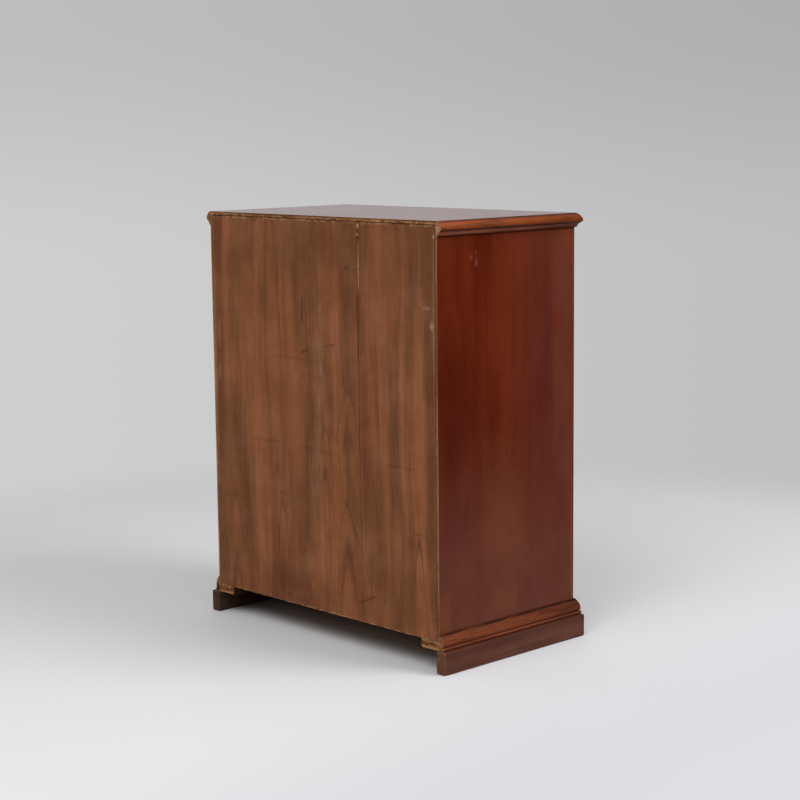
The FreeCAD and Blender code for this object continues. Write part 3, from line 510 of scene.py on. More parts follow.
def makeMahogany(bsdf, place, look, along):
    grain = grainOn(place, look["grain"], along, look["shift"])
    dirt = dirtOn(place)
    contrast = look["contrast"]
    colour = blendColour(fade(grain["Bands"], *look["bands"]), look["dark"], look["light"])
    streaks = fade(grain["Streaks"], *look["streaks"])
    colour = lay(colour, streaks, look["streakShare"] * contrast, look["streak"])
    # the sides take a painted reflection and their marks
    if look["aged"]:
        colour = addSheenAndMarks(colour, place, dirt)
    if look["flamed"]:
        colour = addFlame(colour, place)
    flecks = fade(grain["Fibres"], *look["flecks"])
    colour = lay(colour, flecks, look["fleckShare"] * contrast, look["fleck"])
    dim, bright = 1.0 - look["fibreDark"] * contrast, 1.0 + look["fibreLight"] * contrast
    shade = fade(grain["Fibres"], *look["fibreRange"], dim, bright)
    shade = calc("SUBTRACT", shade, times(grain["Pores"], look["poreShade"]))
    warm = fade(dirt["Patches"], *look["warmPatches"])
    shade = calc("ADD", shade, times(warm, look["warmth"]))
    bsdf.inputs["Coat Weight"].default_value = look["coat"]
    bsdf.inputs["Coat Roughness"].default_value = look["coatRough"]
    rough = fade(dirt["Patches"], *look["patchRange"], *look["gloss"])
    finishWood(bsdf, look, colour, shade, rough, grain)


# The sides: a painted reflection, a pale sheen laid low down and towards the front, then marks placed as
# (y, z)
sheenAndMarkLook = {
    # the first tone is a painted reflection: a pale sheen low down and towards the front, thinned in
    # patches
    "veil": "#5f3529", "low": (0.10, 0.66, 0.90, 0.0), "front": (-0.24, 0.10, 0.60, 0.0),
    "thin": (0.25, 0.7, 0.7, 1.0),
    "marks": [  # tone, place, reach, share, raggedness
        ("#441104", (0.2, 0.62), (0.11, 0.24), 0.7, 0.6),
        ("#65270f", (0.06, 0.82), (0.06, 0.24), 0.35, 1.0),
        ("#4a1d18", (-0.115, 0.66), (0.046, 0.38), 0.42, 0.8),
        ("#4c231b", (0.17, 0.36), (0.06, 0.16), 0.4, 1.0),
        ("#683a22", (0.03, 0.32), (0.11, 0.26), 0.4, 1.4),
        ("#6d3a1f", (0.232, 0.13), (0.032, 0.08), 0.65, 1.2),
        ("#6b3a22", (0.02, 0.14), (0.07, 0.05), 0.35, 1.6),
        ("#6e3414", (-0.19, 1.0), (0.034, 0.05), 0.5, 1.2),
        ("#844a38", (0.139, 0.962), (0.007, 0.008), 0.55, 5.0),
        ("#844a38", (0.122, 0.95), (0.006, 0.014), 0.6, 5.0),
        ("#844a38", (0.124, 0.972), (0.005, 0.006), 0.35, 5.0),
    ],
}


def addSheenAndMarks(colour, place, dirt):
    look = sheenAndMarkLook
    directions = split(place)
    # painted reflection: a pale sheen laid low down and towards the front
    low, front = fade(directions[2], *look["low"]), fade(directions[1], *look["front"])
    veil = calc("MAXIMUM", low, front)
    colour = lay(colour, veil, fade(dirt["Patches"], *look["thin"]), look["veil"])
    flat = vectorCalc("MULTIPLY", place, onSide((1.0, 1.0)))
    return addSmudges(colour, flat, onSide, look["marks"])


# A flame in the panels' veneer, the same on both doors: shares of the panel's height, then fill and ring
flameLook = {"drop": 0.1, "halfWidth": 0.16, "height": 0.55, "lines": 58.0, "fill": (0.35, "#7d3517"),
             "ring": (0.42, mahoganyLook["streak"])}


def addFlame(colour, place):
    look = flameLook
    directions = split(place)
    across = calc("ABSOLUTE", directions[0])
    mirrored = put("CombineXYZ", {0: across, 2: directions[2]}).outputs[0]
    low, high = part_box("door_right_panel")
    tall = high.z - low.z
    apex = ((low.x + high.x) / 2, high.z - look["drop"] * tall)
    arch = (apex, look["halfWidth"], look["height"] * tall, look["lines"])
    return addArch(colour, mirrored, arch, look["fill"], look["ring"])


# Mouldings: colours up the outline, as (share of the height, colour), darker towards the front. The
# outlines hold painted shade and light: dark bands in the creases, quirks and gaps above and below, a cove
# lightened against its shade, an upward-facing ovolo darkened against the light
mouldingLook = {
    "grain": {"Wander": 0.02, "Fineness": 3.6, "Shortness": 3.0}, "light": "#7c3f1c", "streak": "#46200f",
    "streaks": (0.48, 0.66), "lightShare": 0.6, "bands": (0.48, 0.64), "streakShare": 0.6,
    "lowLight": (0.34, 0.54, 0.25, 1.0), "fibreShade": (0.25, 0.75, 0.80, 1.18),
    "dimY": -0.24, "fullY": 0.16, "rough": (0.3, 0.7, 0.28, 0.42), "ripple": 0.00015, "gleam": 0.08,
}
mouldingKinds = {
    # dark stops in each outline are painted shade in the creases, quirks and the gaps above and below
    "topMoulding": {"node": "top_moulding_left", "dim": 0.645, "outline": [
        (0.0, "#260f08"), (0.05, "#6e3c2a"), (0.12, "#8d4e36"), (0.26, "#864a34"), (0.31, "#4a2011"),
        (0.345, "#4a2011"), (0.4, "#6c3012"), (0.54, "#7a3814"), (0.84, "#7a3814"), (0.92, "#4e230f"),
        (0.97, "#28100a")]},
    "baseMoulding": {"node": "base_moulding_left", "dim": 0.72, "outline": [
        (0.0, "#3a1a0e"), (0.04, "#6a341e"), (0.11, "#7c4128"), (0.2, "#703820"), (0.24, "#4c2010"),
        (0.28, "#4c2010"), (0.31, "#6c341f"), (0.41, "#743a22"), (0.43, "#5a2a17"), (0.46, "#743a22"),
        (0.58, "#723922"), (0.61, "#522615"), (0.64, "#6e3720"), (0.78, "#68341f"), (0.8, "#522716"),
        (0.83, "#68341f"), (0.88, "#5c2c18"), (0.92, "#240c05"), (1.0, "#1d0b06")]},
}


def makeMoulding(bsdf, place, look, along):
    grain = grainOn(place, look["grain"], along)
    dirt = dirtOn(place, 2.0)
    directions = split(place)
    low, high = (corner.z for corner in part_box(look["node"]))
    share = put("MapRange", {0: directions[2], 1: low, 2: high}).outputs[0]
    # the outline ramp, whose dark stops are painted shade
    ramp = put("ValToRGB", {0: share})
    stops = ramp.color_ramp.elements
    while len(stops) < len(look["outline"]):
        stops.new(0.5)
    for stop, (position, tone) in zip(stops, look["outline"]):
        stop.position = position
        stop.color = tint(tone)
    light = times(fade(grain["Streaks"], *look["streaks"]), look["lightShare"])
    colour = lay(ramp.outputs[0], light, fade(share, *look["lowLight"]), look["light"])
    colour = lay(colour, fade(grain["Bands"], *look["bands"]), look["streakShare"], look["streak"])
    shade = times(fade(grain["Fibres"], *look["fibreShade"]),
                  fade(directions[1], look["dimY"], look["fullY"], look["dim"], 1.0))
    rough = fade(dirt["Patches"], *look["rough"])
    finishWood(bsdf, look, colour, shade, rough, grain)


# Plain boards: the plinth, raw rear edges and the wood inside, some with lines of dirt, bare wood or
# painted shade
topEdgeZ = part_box("top_board")[1].z
baseLow, baseHigh = (corner.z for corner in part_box("base_moulding_left"))
boardLook = {"rough": (0.75, 0.92), "fine": 3.0, "lines": [], "streakShare": 0.5, "speckShare": 0.6,
             "bands": (0.36, 0.64), "streaks": (0.50, 0.70), "fibreRange": (0.2, 0.8), "wander": 0.03,
             "fibreShade": (0.25, 0.75, 0.84, 1.14), "patchShade": (0.3, 0.7, 0.88, 1.08), "ripple": 0.0003,
             "gleam": 0.14}
boardKinds = {  # tones: dark, light, streak; lines as on the back
    "plinthWood": {"tones": ("#4c271b", "#5e3526", "#3a1c12"), "rough": (0.45, 0.62), "fine": 1.6},
    "wornWood": {"tones": ("#7a4a2c", "#a3724a", "#54301c"), "rough": (0.50, 0.75)},
    "rawEdge": {"tones": ("#6f4627", "#94683f", "#3a2113")},
    "rawEnd": {"tones": ("#5a3926", "#6d4935", "#42281a"), "fine": 2.4},
    "cutEnd": {"tones": ("#83573c", "#a5805c", "#553521")},
    "mouldEnd": {"tones": ("#6a4330", "#865c44", "#4c2e1e"),
                 "lines": [("#3c1c12", 2, baseHigh, 0.0075, 0.85, 1.0, 40.0)]},
    "farEnd": {"tones": ("#5c3f2d", "#7a563e", "#3f281b"),
               "lines": [("#2b1813", 2, baseLow + 0.009, 0.0170, 0.92, 1.0, 30.0)]},
    "lipping": {"tones": ("#4e2518", "#613320", "#3c1c13"), "rough": (0.40, 0.55), "fine": 2.4},
    "endShade": {"tones": ("#573a22", "#755032", "#3a2314")},
    "darkEnd": {"tones": ("#3c2a1f", "#4e3a2c", "#2c1d14"), "fine": 2.4},
    "dustyBlock": {"tones": ("#2c1b12", "#3a2619", "#24160e"), "fine": 1.6},
    "innerWood": {"tones": ("#8a6440", "#a67f55", "#6d4a2c"), "rough": (0.62, 0.82), "fine": 1.0},
    "topStrip": {"tones": ("#704524", "#96673c", "#4a2b16"),
                 # the two dark lines are painted shade at the top edge and in the gap under the strip
                 "lines": [("#24110a", 2, topEdgeZ, 0.0042, 0.95, 1.0, 40.0),
                           ("#4a2210", 2, topEdgeZ - 0.0074, 0.0046, 0.75, 6.0, 55.0),
                           ("#bd9260", 2, topEdgeZ - 0.0060, 0.0030, 0.35, 8.0, 80.0)]},
    "lipEdge": {"tones": ("#6c4833", "#86604a", "#553625"),
                # painted shade of the gap beside the back
                "lines": [("#3a2013", 0, 0.4045, 0.0030, 0.40, 7.0, 90.0),
                          ("#3a2013", 0, -0.4045, 0.0030, 0.40, 7.0, 90.0)]},
    "lipBright": {"tones": ("#865833", "#b08250", "#583620"),
                  # painted shade of the gap beside the back
                  "lines": [("#3a2013", 0, 0.4045, 0.0028, 0.30, 8.0, 90.0)]},
    "railEnd": {"tones": ("#6b3f24", "#8c5c36", "#3d2013"), "fine": 3.4,
                "lines": [("#351a0c", 2, 0.0650, 0.0048, 0.80, 5.0, 70.0),
                          ("#a87c52", 2, 0.0555, 0.0028, 0.60, 4.0, 60.0),
                          ("#c39a6c", 2, 0.0735, 0.0026, 0.55, 8.0, 110.0)]},
}


def makeBoardWood(bsdf, place, look, along):
    dark, light, streak = look["tones"]
    grain = grainOn(place, {"Wander": look["wander"], "Fineness": look["fine"], "Shortness": 1.0}, along)
    dirt = dirtOn(place, look["fine"])
    colour = blendColour(fade(grain["Bands"], *look["bands"]), dark, light)
    colour = lay(colour, fade(grain["Streaks"], *look["streaks"]), look["streakShare"], streak)
    colour = lay(colour, dirt["Specks"], look["speckShare"], streak)
    colour = addLines(colour, place, look["lines"])
    shade = times(fade(grain["Fibres"], *look["fibreShade"]), fade(dirt["Patches"], *look["patchShade"]))
    rough = fade(grain["Fibres"], *look["fibreRange"], *look["rough"])
    finishWood(bsdf, look, colour, shade, rough, grain)


# Metals: clean and tarnished tones, how fine the tarnish is, and how bare the metal
metalLook = {"dull": (0.42, 0.66), "speckShare": 0.5, "bare": 1.0, "ripple": 0.0001}
metalKinds = {
    "agedBrass": {"tones": ("#b58a45", "#5d4526"), "rough": (0.28, 0.55), "scale": 6.0},
    "dullSteel": {"tones": ("#77716a", "#4a382c"), "rough": (0.38, 0.65), "scale": 8.0},
    "screwBrass": {"tones": ("#d2aa66", "#8a6a3c"), "rough": (0.25, 0.45), "scale": 20.0},
    "screwSteel": {"tones": ("#98928a", "#5c5048"), "rough": (0.30, 0.50), "scale": 20.0},
    "rustyNail": {"tones": ("#74502f", "#54361f"), "rough": (0.65, 0.90), "scale": 30.0, "bare": 0.1},
}


def makeMetal(bsdf, place, look, along):
    clean, tarnish = look["tones"]
    dirt = dirtOn(place, look["scale"])
    dull = fade(dirt["Patches"], *look["dull"])
    colour = lay(blendColour(dull, clean, tarnish), dirt["Specks"], look["speckShare"], tarnish)
    bsdf.inputs["Metallic"].default_value = look["bare"]
    rough = fade(dull, 0.0, 1.0, *look["rough"])
    finishWith(bsdf, colour, rough, dirt["Patches"], look["ripple"])


# Every finish by name, with its maker and its look
makers = {"backWood": (makeBackWood, backLook)}
for maker, shared, kinds in ((makeMahogany, mahoganyLook, mahoganyKinds),
                             (makeMoulding, mouldingLook, mouldingKinds),
                             (makeBoardWood, boardLook, boardKinds), (makeMetal, metalLook, metalKinds)):
    makers.update({kind: (maker, {**shared, **own}) for kind, own in kinds.items()})
finishes = {}


def finishFor(kind, along=""):  # a finish, with the run of its grain, made when it is first asked for
    name = kind + along.upper()
    if name not in finishes:
        maker, look = makers[kind]
        finishes[name], bsdf, place = startMaterial(name)
        maker(bsdf, place, look, along or look.get("along", "z"))
    return finishes[name]


# Modelling helpers

def takeUp(piece):  # leaves this piece alone selected and active
    bpy.ops.object.select_all(action="DESELECT")
    piece.select_set(True)
    bpy.context.view_layer.objects.active = piece


def openEdit():
    bpy.ops.object.mode_set(mode="EDIT")


def leaveEdit():
    bpy.ops.object.mode_set(mode="OBJECT")


def selectAll():  # everything in the piece that is open
    bpy.ops.mesh.select_all(action="SELECT")


def edit(piece, kind="EDGE"):  # opens the piece with nothing selected
    takeUp(piece)
    openEdit()
    bpy.ops.mesh.select_mode(type=kind)
    bpy.ops.mesh.select_all(action="DESELECT")


def pickEdges(piece, fits):  # opens the piece with the edges selected whose two ends fit
    edit(piece)
    leaveEdit()
    corners = piece.data.vertices
    for edge in piece.data.edges:
        edge.select = all(fits(corners[n].co) for n in edge.vertices)
    openEdit()


def pickFaces(piece, fits):  # opens the piece with the faces selected whose middle fits
    edit(piece, "FACE")
    leaveEdit()
    for face in piece.data.polygons:
        face.select = fits(face.center)
    openEdit()


def pieceName(node):
    first, *rest = node.split("_")
    return first + "".join(word.capitalize() for word in rest)


def rename(piece, name):
    piece.name = name
    piece.data.name = name


def copyNode(node):  # a clean copy of a CAD node, with its triangles merged into flat faces
    takeUp(nodes[node])
    bpy.ops.object.duplicate()
    piece = bpy.context.object
    rename(piece, pieceName(node))
    del piece["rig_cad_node"]
    piece.data.materials.clear()
    openEdit()
    selectAll()
    bpy.ops.mesh.customdata_custom_splitnormals_clear()
    bpy.ops.mesh.remove_doubles(threshold=0.00001)
    bpy.ops.mesh.dissolve_limited(angle_limit=radians(0.5))
    leaveEdit()
    return piece


# Softened arrises by slot: width, rounds and the shortest edge that is taken
arrisLook = {
    "sharpFrom": radians(30), "mitreArea": 0.0001,
    "mahogany_polished": (0.0010, 2, 0.006), "inner_wood": (0.0010, 2, 0.006),
    "mahogany_moulding": (0.0003, 2, 0.03), "plinth_wood": (0.0034, 4, 0.0),
    "brass": (0.0003, 2, 0.0015), "steel": (0.0003, 2, 0.0015),
}


def softenEdges(piece, width, rounds, shortest):
    edit(piece)
    bpy.ops.mesh.edges_select_sharp(sharpness=arrisLook["sharpFrom"])
    leaveEdit()
    mitred = set()
    for side in piece.data.polygons:  # mitres stay tight, so their edges stay crisp
        if side.area > arrisLook["mitreArea"] and min(abs(side.normal.x), abs(side.normal.y)) > 0.6:
            side.select = False
            mitred.update(side.edge_keys)
    corners = piece.data.vertices
    for edge in piece.data.edges:
        first, second = (corners[n].co for n in edge.vertices)
        if (first - second).length < shortest or edge.key in mitred:
            edge.select = False
    openEdit()
    bpy.ops.mesh.bevel(offset=width, segments=rounds, affect="EDGES", clamp_overlap=shortest > 0,
                       material=1)
    leaveEdit()


def settle(piece, body, slotName, *stoodFor):
    takeUp(piece)
    bpy.ops.object.shade_smooth_by_angle(angle=radians(35))
    bpy.ops.object.modifier_add(type="WEIGHTED_NORMAL")  # flat faces stay flat beside their softened edges
    piece.modifiers[-1].keep_sharp = True
    bpy.ops.object.modifier_apply(modifier=piece.modifiers[-1].name)
    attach(piece, body)
    if stoodFor:
        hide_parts(*stoodFor)


# Which faces take which finish
faceLook = {"wornFrom": 0.2, "rearFrom": 0.7, "rearDepth": 0.005, "hiddenFrom": 0.9}
knobs = ["drawer_knobs", "door_left_knob", "door_right_knob"]
inwardOf = {"plinth_left": (1, 0, 0), "plinth_right": (-1, 0, 0), "plinth_front": (0, 1, 0)}


def dress(node, face, worn, rear=None, hidden=None):
    look = faceLook
    piece = copyNode(node)
    for material in (face, worn, rear or face, hidden or face):
        piece.data.materials.append(material)
    if node not in knobs:
        softenEdges(piece, *arrisLook[slotOf[node]])
    inward = Vector(inwardOf.get(node, (0, 0, 0)))
    for side in piece.data.polygons:
        if side.material_index == 1 and side.normal.y < look["wornFrom"] and node != "front_lippings":
            side.material_index = 0  # most edges are worn bare at the rear only
        if rear and side.normal.y > look["rearFrom"] and side.center.y > rearY - look["rearDepth"]:
            side.material_index = 2
        if side.normal.dot(inward) > look["hiddenFrom"]:
            side.material_index = 3
    settle(piece, bodyOf[node], slotOf[node], node)


# Chipped edges of the back boards: depth, size of a chip, cuts along an edge, and the share of each edge
chipLook = {"depth": 0.0022, "size": 0.009, "cuts": 90, "near": 0.0001,
            "ends": 1.0, "joint": 0.05, "outer": 0.5}
chipNoise = bpy.data.textures.new("chipNoise", "CLOUDS")
chipNoise.noise_scale = chipLook["size"]
chipNoise.noise_depth = 3


def chipEdge(piece, axis, end, share):  # frets the rear edge at one end of an axis, inwards only
    near = chipLook["near"]
    furthest = max if end > 0 else min
    limit = furthest(corner.co[axis] for corner in piece.data.vertices if corner.co.y > rearY - near)
    pickEdges(piece, lambda spot: spot.y > rearY - near and abs(spot[axis] - limit) < near)
    bpy.ops.mesh.subdivide(number_cuts=chipLook["cuts"])
    bpy.ops.object.vertex_group_assign_new()
    leaveEdit()
    bpy.ops.object.modifier_add(type="DISPLACE")
    fret = piece.modifiers[-1]
    fret.texture = chipNoise
    fret.vertex_group = piece.vertex_groups[-1].name
    fret.direction = "XYZ"[axis]
    fret.mid_level = 0.0
    fret.strength = -end * share * chipLook["depth"]
    bpy.ops.object.modifier_apply(modifier=fret.name)


def dressBack(node):
    look = chipLook
    piece = copyNode(node)
    piece.data.materials.append(finishFor("backWood"))
    joint = 1 if node.endswith("narrow") else -1  # the end of the board that meets its neighbour
    for axis, end, share in ((2, 1, look["ends"]), (2, -1, look["ends"]), (0, joint, look["joint"]),
                             (0, -joint, look["outer"])):
        chipEdge(piece, axis, end, share)
    settle(piece, bodyOf[node], slotOf[node], node)


# The grain runs along the longest side, except in knobs and where pieces set apart share a node
grainRun = {"door_stops": "z",
            **dict.fromkeys(["drawer_runners", "drawer_kickers", "shelf_bearers", *knobs], "y")}


def runOf(node):
    low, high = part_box(node)
    return grainRun.get(node) or max("xyz", key=lambda axis: getattr(high - low, axis))


# Finishes by slot, then those of single boards and of their rear ends, some with a run of grain
faceOfSlot = {"mahogany_polished": "mahogany", "plinth_wood": "plinthWood", "inner_wood": "innerWood",
              "brass": "agedBrass", "steel": "dullSteel"}
faceOf = {"side_left": ["sideMahogany"], "side_right": ["sideMahogany"], "top_board": ["topMahogany"],
          "drawer_front": ["drawerMahogany"], "door_left_panel": ["panelMahogany"],
          "door_right_panel": ["panelMahogany"], "back_nails": ["rustyNail"],
          "front_lippings": ["lipping", "z"],
          "plinth_glue_blocks": ["dustyBlock", "x"], "base_rail_front": ["dustyBlock", "x"],
          "base_rail_left": ["dustyBlock", "y"], "base_rail_right": ["dustyBlock", "y"]}
rearOf = {"side_left": ["lipEdge", "z"], "side_right": ["lipBright", "z"], "top_board": ["topStrip", "x"],
          "base_rail_left": ["railEnd", "x"], "base_rail_right": ["railEnd", "x"],
          "plinth_right": ["darkEnd", "y"], "plinth_left": ["rawEnd", "y"],
          "top_moulding_left": ["cutEnd", "y"], "top_moulding_right": ["endShade", "y"],
          "base_moulding_right": ["farEnd", "y"]}

for node in sorted(nodes):
    slotName = slotOf[node]
    run = runOf(node)
    if slotName == "back_wood":
        dressBack(node)
    elif slotName == "mahogany_moulding":
        face = finishFor("topMoulding" if node.startswith("top") else "baseMoulding", run)
        dress(node, face, face, finishFor(*rearOf.get(node, ["mouldEnd", "y"])))
    elif slotName in ("brass", "steel"):
        metal = finishFor(*faceOf.get(node, [faceOfSlot[slotName]]))
        dress(node, metal, metal)
    else:
        face = finishFor(*faceOf.get(node, [faceOfSlot[slotName], run]))
        rear = finishFor(*rearOf.get(node, ["rawEdge", "x"]))
        if slotName == "plinth_wood":
            worn = finishFor("darkEnd" if node == "plinth_right" else "mouldEnd", "y")
            dress(node, face, worn, rear, finishFor("darkEnd", run))
        elif slotName == "inner_wood" or node.startswith("door_") or node in knobs:
            dress(node, face, face, rear)
        else:
            dress(node, face, finishFor("wornWood", run), rear)
print("boards and fittings dressed in", len(finishes), "finishes")


# A quarter-round bead inside each door's frame, against its panel; its groove lies behind the frame's front
beadLook = {"width": 0.005, "rise": 0.0048, "sink": 0.0008, "rounding": 0.0042, "rounds": 5,
            "groove": 0.007, "inside": 0.001, "near": 0.0001}


def addBead(door):
    look = beadLook
    stiles = (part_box(door + "_hinge_stile"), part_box(door + "_meeting_stile"))
    left, right = sorted(stiles, key=lambda box: box[0].x)
    lowX, highX = left[1].x, right[0].x
    lowZ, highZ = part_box(door + "_bottom_rail")[1].z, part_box(door + "_top_rail")[0].z
    floorY = left[0].y + look["groove"] + look["sink"]
    bpy.ops.object.select_all(action="DESELECT")
    bpy.ops.mesh.primitive_plane_add(size=1.0, location=((lowX + highX) / 2, floorY, (lowZ + highZ) / 2),
                                     rotation=(radians(90), 0.0, 0.0))
    bead = bpy.context.object
    bead.name = pieceName(door) + "Bead"
    bead.scale = (highX - lowX, highZ - lowZ, 1.0)
    bpy.ops.object.transform_apply(location=True, rotation=True, scale=True)
    openEdit()
    selectAll()
    bpy.ops.mesh.inset(thickness=look["width"])
    bpy.ops.mesh.delete(type="FACE")
    selectAll()
    outward = (0.0, -look["rise"] - look["sink"], 0.0)
    bpy.ops.mesh.extrude_region_move(TRANSFORM_OT_translate={"value": outward})
    leaveEdit()
    frontY = min(corner.co.y for corner in bead.data.vertices) + look["near"]
    lowX, highX = lowX + look["inside"], highX - look["inside"]
    pickEdges(bead, lambda spot: spot.y < frontY and lowX < spot.x < highX)
    bpy.ops.mesh.bevel(offset=look["rounding"], segments=look["rounds"], affect="EDGES")
    selectAll()
    bpy.ops.mesh.normals_make_consistent(inside=False)
    leaveEdit()
    bead.data.materials.append(finishFor("mahogany", "z"))
    settle(bead, door, "mahogany_polished")


# Slotted screws, modelled once with a radius and a rise of one; each size is a radius and a rise
screwLook = {"sides": 28, "rounding": 0.30, "rounds": 3, "topFrom": 0.99,
             "slotHalf": 0.16, "slotFrom": 0.72, "slotDepth": 0.45, "firstTurn": 0.7, "nextTurn": 1.9,
             "hinge": (0.0028, 0.00012), "plate": (0.0022, 0.0010), "case": (0.0027, 0.0011),
             "pin": (0.0012, 0.0008)}


def modelScrew():
    look = screwLook
    bpy.ops.object.select_all(action="DESELECT")
    bpy.ops.mesh.primitive_cylinder_add(vertices=look["sides"], radius=1.0, depth=1.0,
                                        location=(0.0, 0.0, 0.5))
    screw = bpy.context.object
    bpy.ops.object.transform_apply(location=True)
    pickEdges(screw, lambda spot: spot.z > look["topFrom"])
    bpy.ops.mesh.bevel(offset=look["rounding"], segments=look["rounds"], affect="EDGES")
    for side in (-look["slotHalf"], look["slotHalf"]):
        selectAll()
        bpy.ops.mesh.bisect(plane_co=(0.0, side, 0.0), plane_no=(0.0, 1.0, 0.0))
    leaveEdit()
    pickFaces(screw, lambda spot: abs(spot.y) < look["slotHalf"] and spot.z > look["slotFrom"])
    bpy.ops.mesh.extrude_region_move(TRANSFORM_OT_translate={"value": (0.0, 0.0, -look["slotDepth"])})
    leaveEdit()
    return screw


def addScrews(pattern, name, body, metal, kinds):  # kinds: which size, the way it faces, its places
    copies = []
    for kind, facing, places in kinds:
        radius, rise = screwLook[kind]
        turn = Vector((0.0, 0.0, 1.0)).rotation_difference(Vector(facing))
        for count, place in enumerate(places):
            takeUp(pattern)
            bpy.ops.object.duplicate()
            screw = bpy.context.object
            slotTurn = Euler((0.0, 0.0, screwLook["firstTurn"] + screwLook["nextTurn"] * count))
            screw.rotation_euler = (turn @ slotTurn.to_quaternion()).to_euler()
            screw.scale = (radius, radius, rise)
            screw.location = place
            bpy.ops.object.transform_apply(location=True, rotation=True, scale=True)
            copies.append(screw)
    takeUp(copies[0])
    for screw in copies:
        screw.select_set(True)
    bpy.ops.object.join()
    joined = bpy.context.object
    rename(joined, name)
    joined.data.materials.append(finishFor("screw" + metal))
    settle(joined, body, metal.lower())


# Where the screws sit: insets from the ends of each fitting
seatLook = {"leafTall": 0.060, "leafRows": (0.16, 0.5, 0.84), "leafInset": 0.010, "leafGap": 0.0002,
            "plate": (0.0026, 0.024), "plateSink": 0.002, "keeper": (None, 0.003), "case": (0.005, 0.005),
            "shield": (0.003, None)}


def hingeSeats(x):  # three screws in each leaf of the two hinges on one side
    low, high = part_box("door_right_hinge_leaves")
    steps = [share * seatLook["leafTall"] for share in seatLook["leafRows"]]
    rows = [low.z + step for step in steps] + [high.z - step for step in reversed(steps)]
    return [(x, high.y - seatLook["leafInset"], z) for z in rows]


def ends(low, high, inset):  # two places near the ends, or the middle if no inset is given
    return [low + inset, high - inset] if inset else [(low + high) / 2]


def seatsOn(node, y, insetX, insetZ):
    low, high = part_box(node)
    return [(x, y, z) for x in ends(low.x, high.x, insetX) for z in ends(low.z, high.z, insetZ)]


for door in ("door_left", "door_right"):
    addBead(door)
leafLow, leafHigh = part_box("door_right_hinge_leaves")
hingeX = (leafLow.x + leafHigh.x) / 2
doorLeaf, jambLeaf = hingeX - seatLook["leafGap"], hingeX + seatLook["leafGap"]
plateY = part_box("door_left_bolt_plate")[0].y + seatLook["plateSink"]
plateSeats = seatsOn("door_left_bolt_plate", plateY, *seatLook["plate"])
keeperSeats = seatsOn("lock_keeper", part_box("lock_keeper")[1].y, *seatLook["keeper"])
caseSeats = seatsOn("lock_case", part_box("lock_case")[1].y, *seatLook["case"])
shieldSeats = seatsOn("escutcheon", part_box("escutcheon")[0].y, *seatLook["shield"])
leftward, rightward, forward, rearward = (-1, 0, 0), (1, 0, 0), (0, -1, 0), (0, 1, 0)
pattern = modelScrew()
addScrews(pattern, "doorLeftScrews", "door_left", "Brass",
          [("hinge", leftward, hingeSeats(-doorLeaf)), ("plate", rearward, plateSeats),
           ("plate", rearward, keeperSeats)])
addScrews(pattern, "doorRightScrews", "door_right", "Brass",
          [("hinge", rightward, hingeSeats(doorLeaf)), ("pin", forward, shieldSeats)])
addScrews(pattern, "lockScrews", "door_right", "Steel", [("case", rearward, caseSeats)])
addScrews(pattern, "jambScrews", "carcase", "Brass",
          [("hinge", leftward, hingeSeats(jambLeaf)), ("hinge", rightward, hingeSeats(-jambLeaf))])
takeUp(pattern)
bpy.ops.object.delete()
print("beads and screws added")


# Stage: a pale floor that fades out, painted darker towards the right as shade, a soft key light and an
# even room
stageLook = {
    # the floor's right tone is painted shade
    "floorTone": "#bfbfc1", "floorRight": "#b0b1b5", "floorRadius": 2.7, "floorSides": 128,
    "floorSink": 0.0005, "fade": (1.7, 2.5), "toRight": (0.3, 1.2), "floorRough": 0.6, "floorGleam": 0.2,
    # the backdrop's right tone is painted shade
    "backdrop": "#cfcfd0", "backdropRight": "#bfbfc1",
    "rightAim": (-0.69, -0.72, 0.0), "rightFrom": (-0.25, 0.25),
    "shadeSide": "#6a6a6d", "shadeAim": (-0.7, -0.7, 0.0), "shadeFrom": (0.35, 0.85),
    "height": (-0.08, 0.06, 1.0, 0.82), "room": (-0.1, 1.0, 0.11, 0.85),
}
lampLooks = {
    "keyLamp": {"place": (-2.4, -1.0, 3.2), "size": 2.0, "power": 102.0},
    "fillLamp": {"place": (-0.9, 3.2, 4.2), "size": 3.4, "power": 172.0},
}
lampAim = Vector((0.0, 0.0, 0.45))


def makeFloor():
    look = stageLook
    bpy.ops.object.select_all(action="DESELECT")
    bpy.ops.mesh.primitive_circle_add(vertices=look["floorSides"], radius=look["floorRadius"],
                                      fill_type="NGON", location=(0.0, 0.0, -look["floorSink"]))
    floor = bpy.context.object
    floor.name = "studioFloor"
    bpy.ops.object.transform_apply(location=True)
    material, bsdf, place = startMaterial("floorPaint")
    links = material.node_tree.links
    radius = vectorCalc("LENGTH", vectorCalc("MULTIPLY", place, (1.0, 1.0, 0.0)))
    links.new(fadeOut(radius, *look["fade"]), bsdf.inputs["Alpha"])
    toRight = fade(vectorCalc("DOT_PRODUCT", place, (-1.0, 0.0, 0.0)), *look["toRight"])
    # painted shade: the floor darker towards the right
    tone = blendColour(toRight, look["floorTone"], look["floorRight"])
    links.new(tone, bsdf.inputs["Base Color"])
    bsdf.inputs["Roughness"].default_value = look["floorRough"]
    bsdf.inputs["Specular IOR Level"].default_value = look["floorGleam"]
    floor.data.materials.append(material)


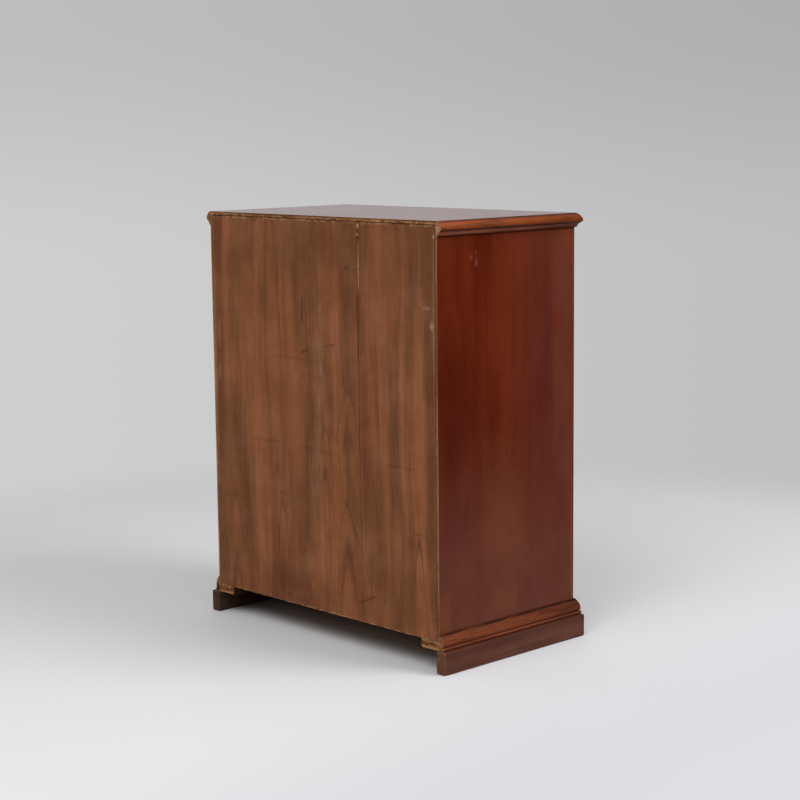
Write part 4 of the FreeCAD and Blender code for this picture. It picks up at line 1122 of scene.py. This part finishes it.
def makeWorld():
    look = stageLook
    world = bpy.data.worlds.new("studioRoom")
    world.use_nodes = True
    bpy.context.scene.world = world
    tree = world.node_tree
    tree.nodes.clear()
    away = tree.nodes.new("ShaderNodeTexCoord").outputs["Generated"]
    upward = split(away)[2]
    level = fade(upward, *look["room"])
    light = put("Background", {"Color": "#ffffff", "Strength": level}).outputs[0]
    toRight = fade(vectorCalc("DOT_PRODUCT", away, look["rightAim"]), *look["rightFrom"])
    shaded = fade(vectorCalc("DOT_PRODUCT", away, look["shadeAim"]), *look["shadeFrom"])
    # painted shade: the backdrop darker towards the right
    tone = blendColour(toRight, look["backdrop"], look["backdropRight"])
    tone = blendColour(shaded, tone, look["shadeSide"])
    dimmer = fade(upward, *look["height"])
    shown = put("Background", {"Color": tone, "Strength": dimmer}).outputs[0]
    path = tree.nodes.new("ShaderNodeLightPath").outputs
    seen = calc("MAXIMUM", path["Is Camera Ray"], path["Is Glossy Ray"])
    seen = calc("MAXIMUM", seen, path["Is Transmission Ray"])
    mixed = put("MixShader", {0: seen, 1: light, 2: shown}).outputs[0]
    put("OutputWorld", {"Surface": mixed})


def addLamp(name, look):
    bpy.ops.object.light_add(type="AREA", location=look["place"])
    lamp = bpy.context.object
    lamp.name = name
    lamp.data.shape = "DISK"
    lamp.data.size = look["size"]
    lamp.data.energy = look["power"]
    lamp.rotation_euler = (lampAim - Vector(look["place"])).to_track_quat("-Z", "Y").to_euler()


# The photo's viewpoint: metres, degrees, millimetres
cameraLook = {"place": (-3.3993, 3.2211, 1.2703), "turn": (81.557, 0.589, -133.744), "lens": 84.23,
              "sensor": 36.0}


def addCamera():
    look = cameraLook
    turn = [radians(angle) for angle in look["turn"]]
    bpy.ops.object.camera_add(location=look["place"], rotation=turn)
    camera = bpy.context.object
    camera.data.lens = look["lens"]
    camera.data.sensor_width = look["sensor"]
    bpy.context.scene.camera = camera


makeFloor()
makeWorld()
for name, look in lampLooks.items():
    addLamp(name, look)
addCamera()
bpy.context.scene.view_settings.view_transform = "Standard"
print("stage, lights and camera ready")
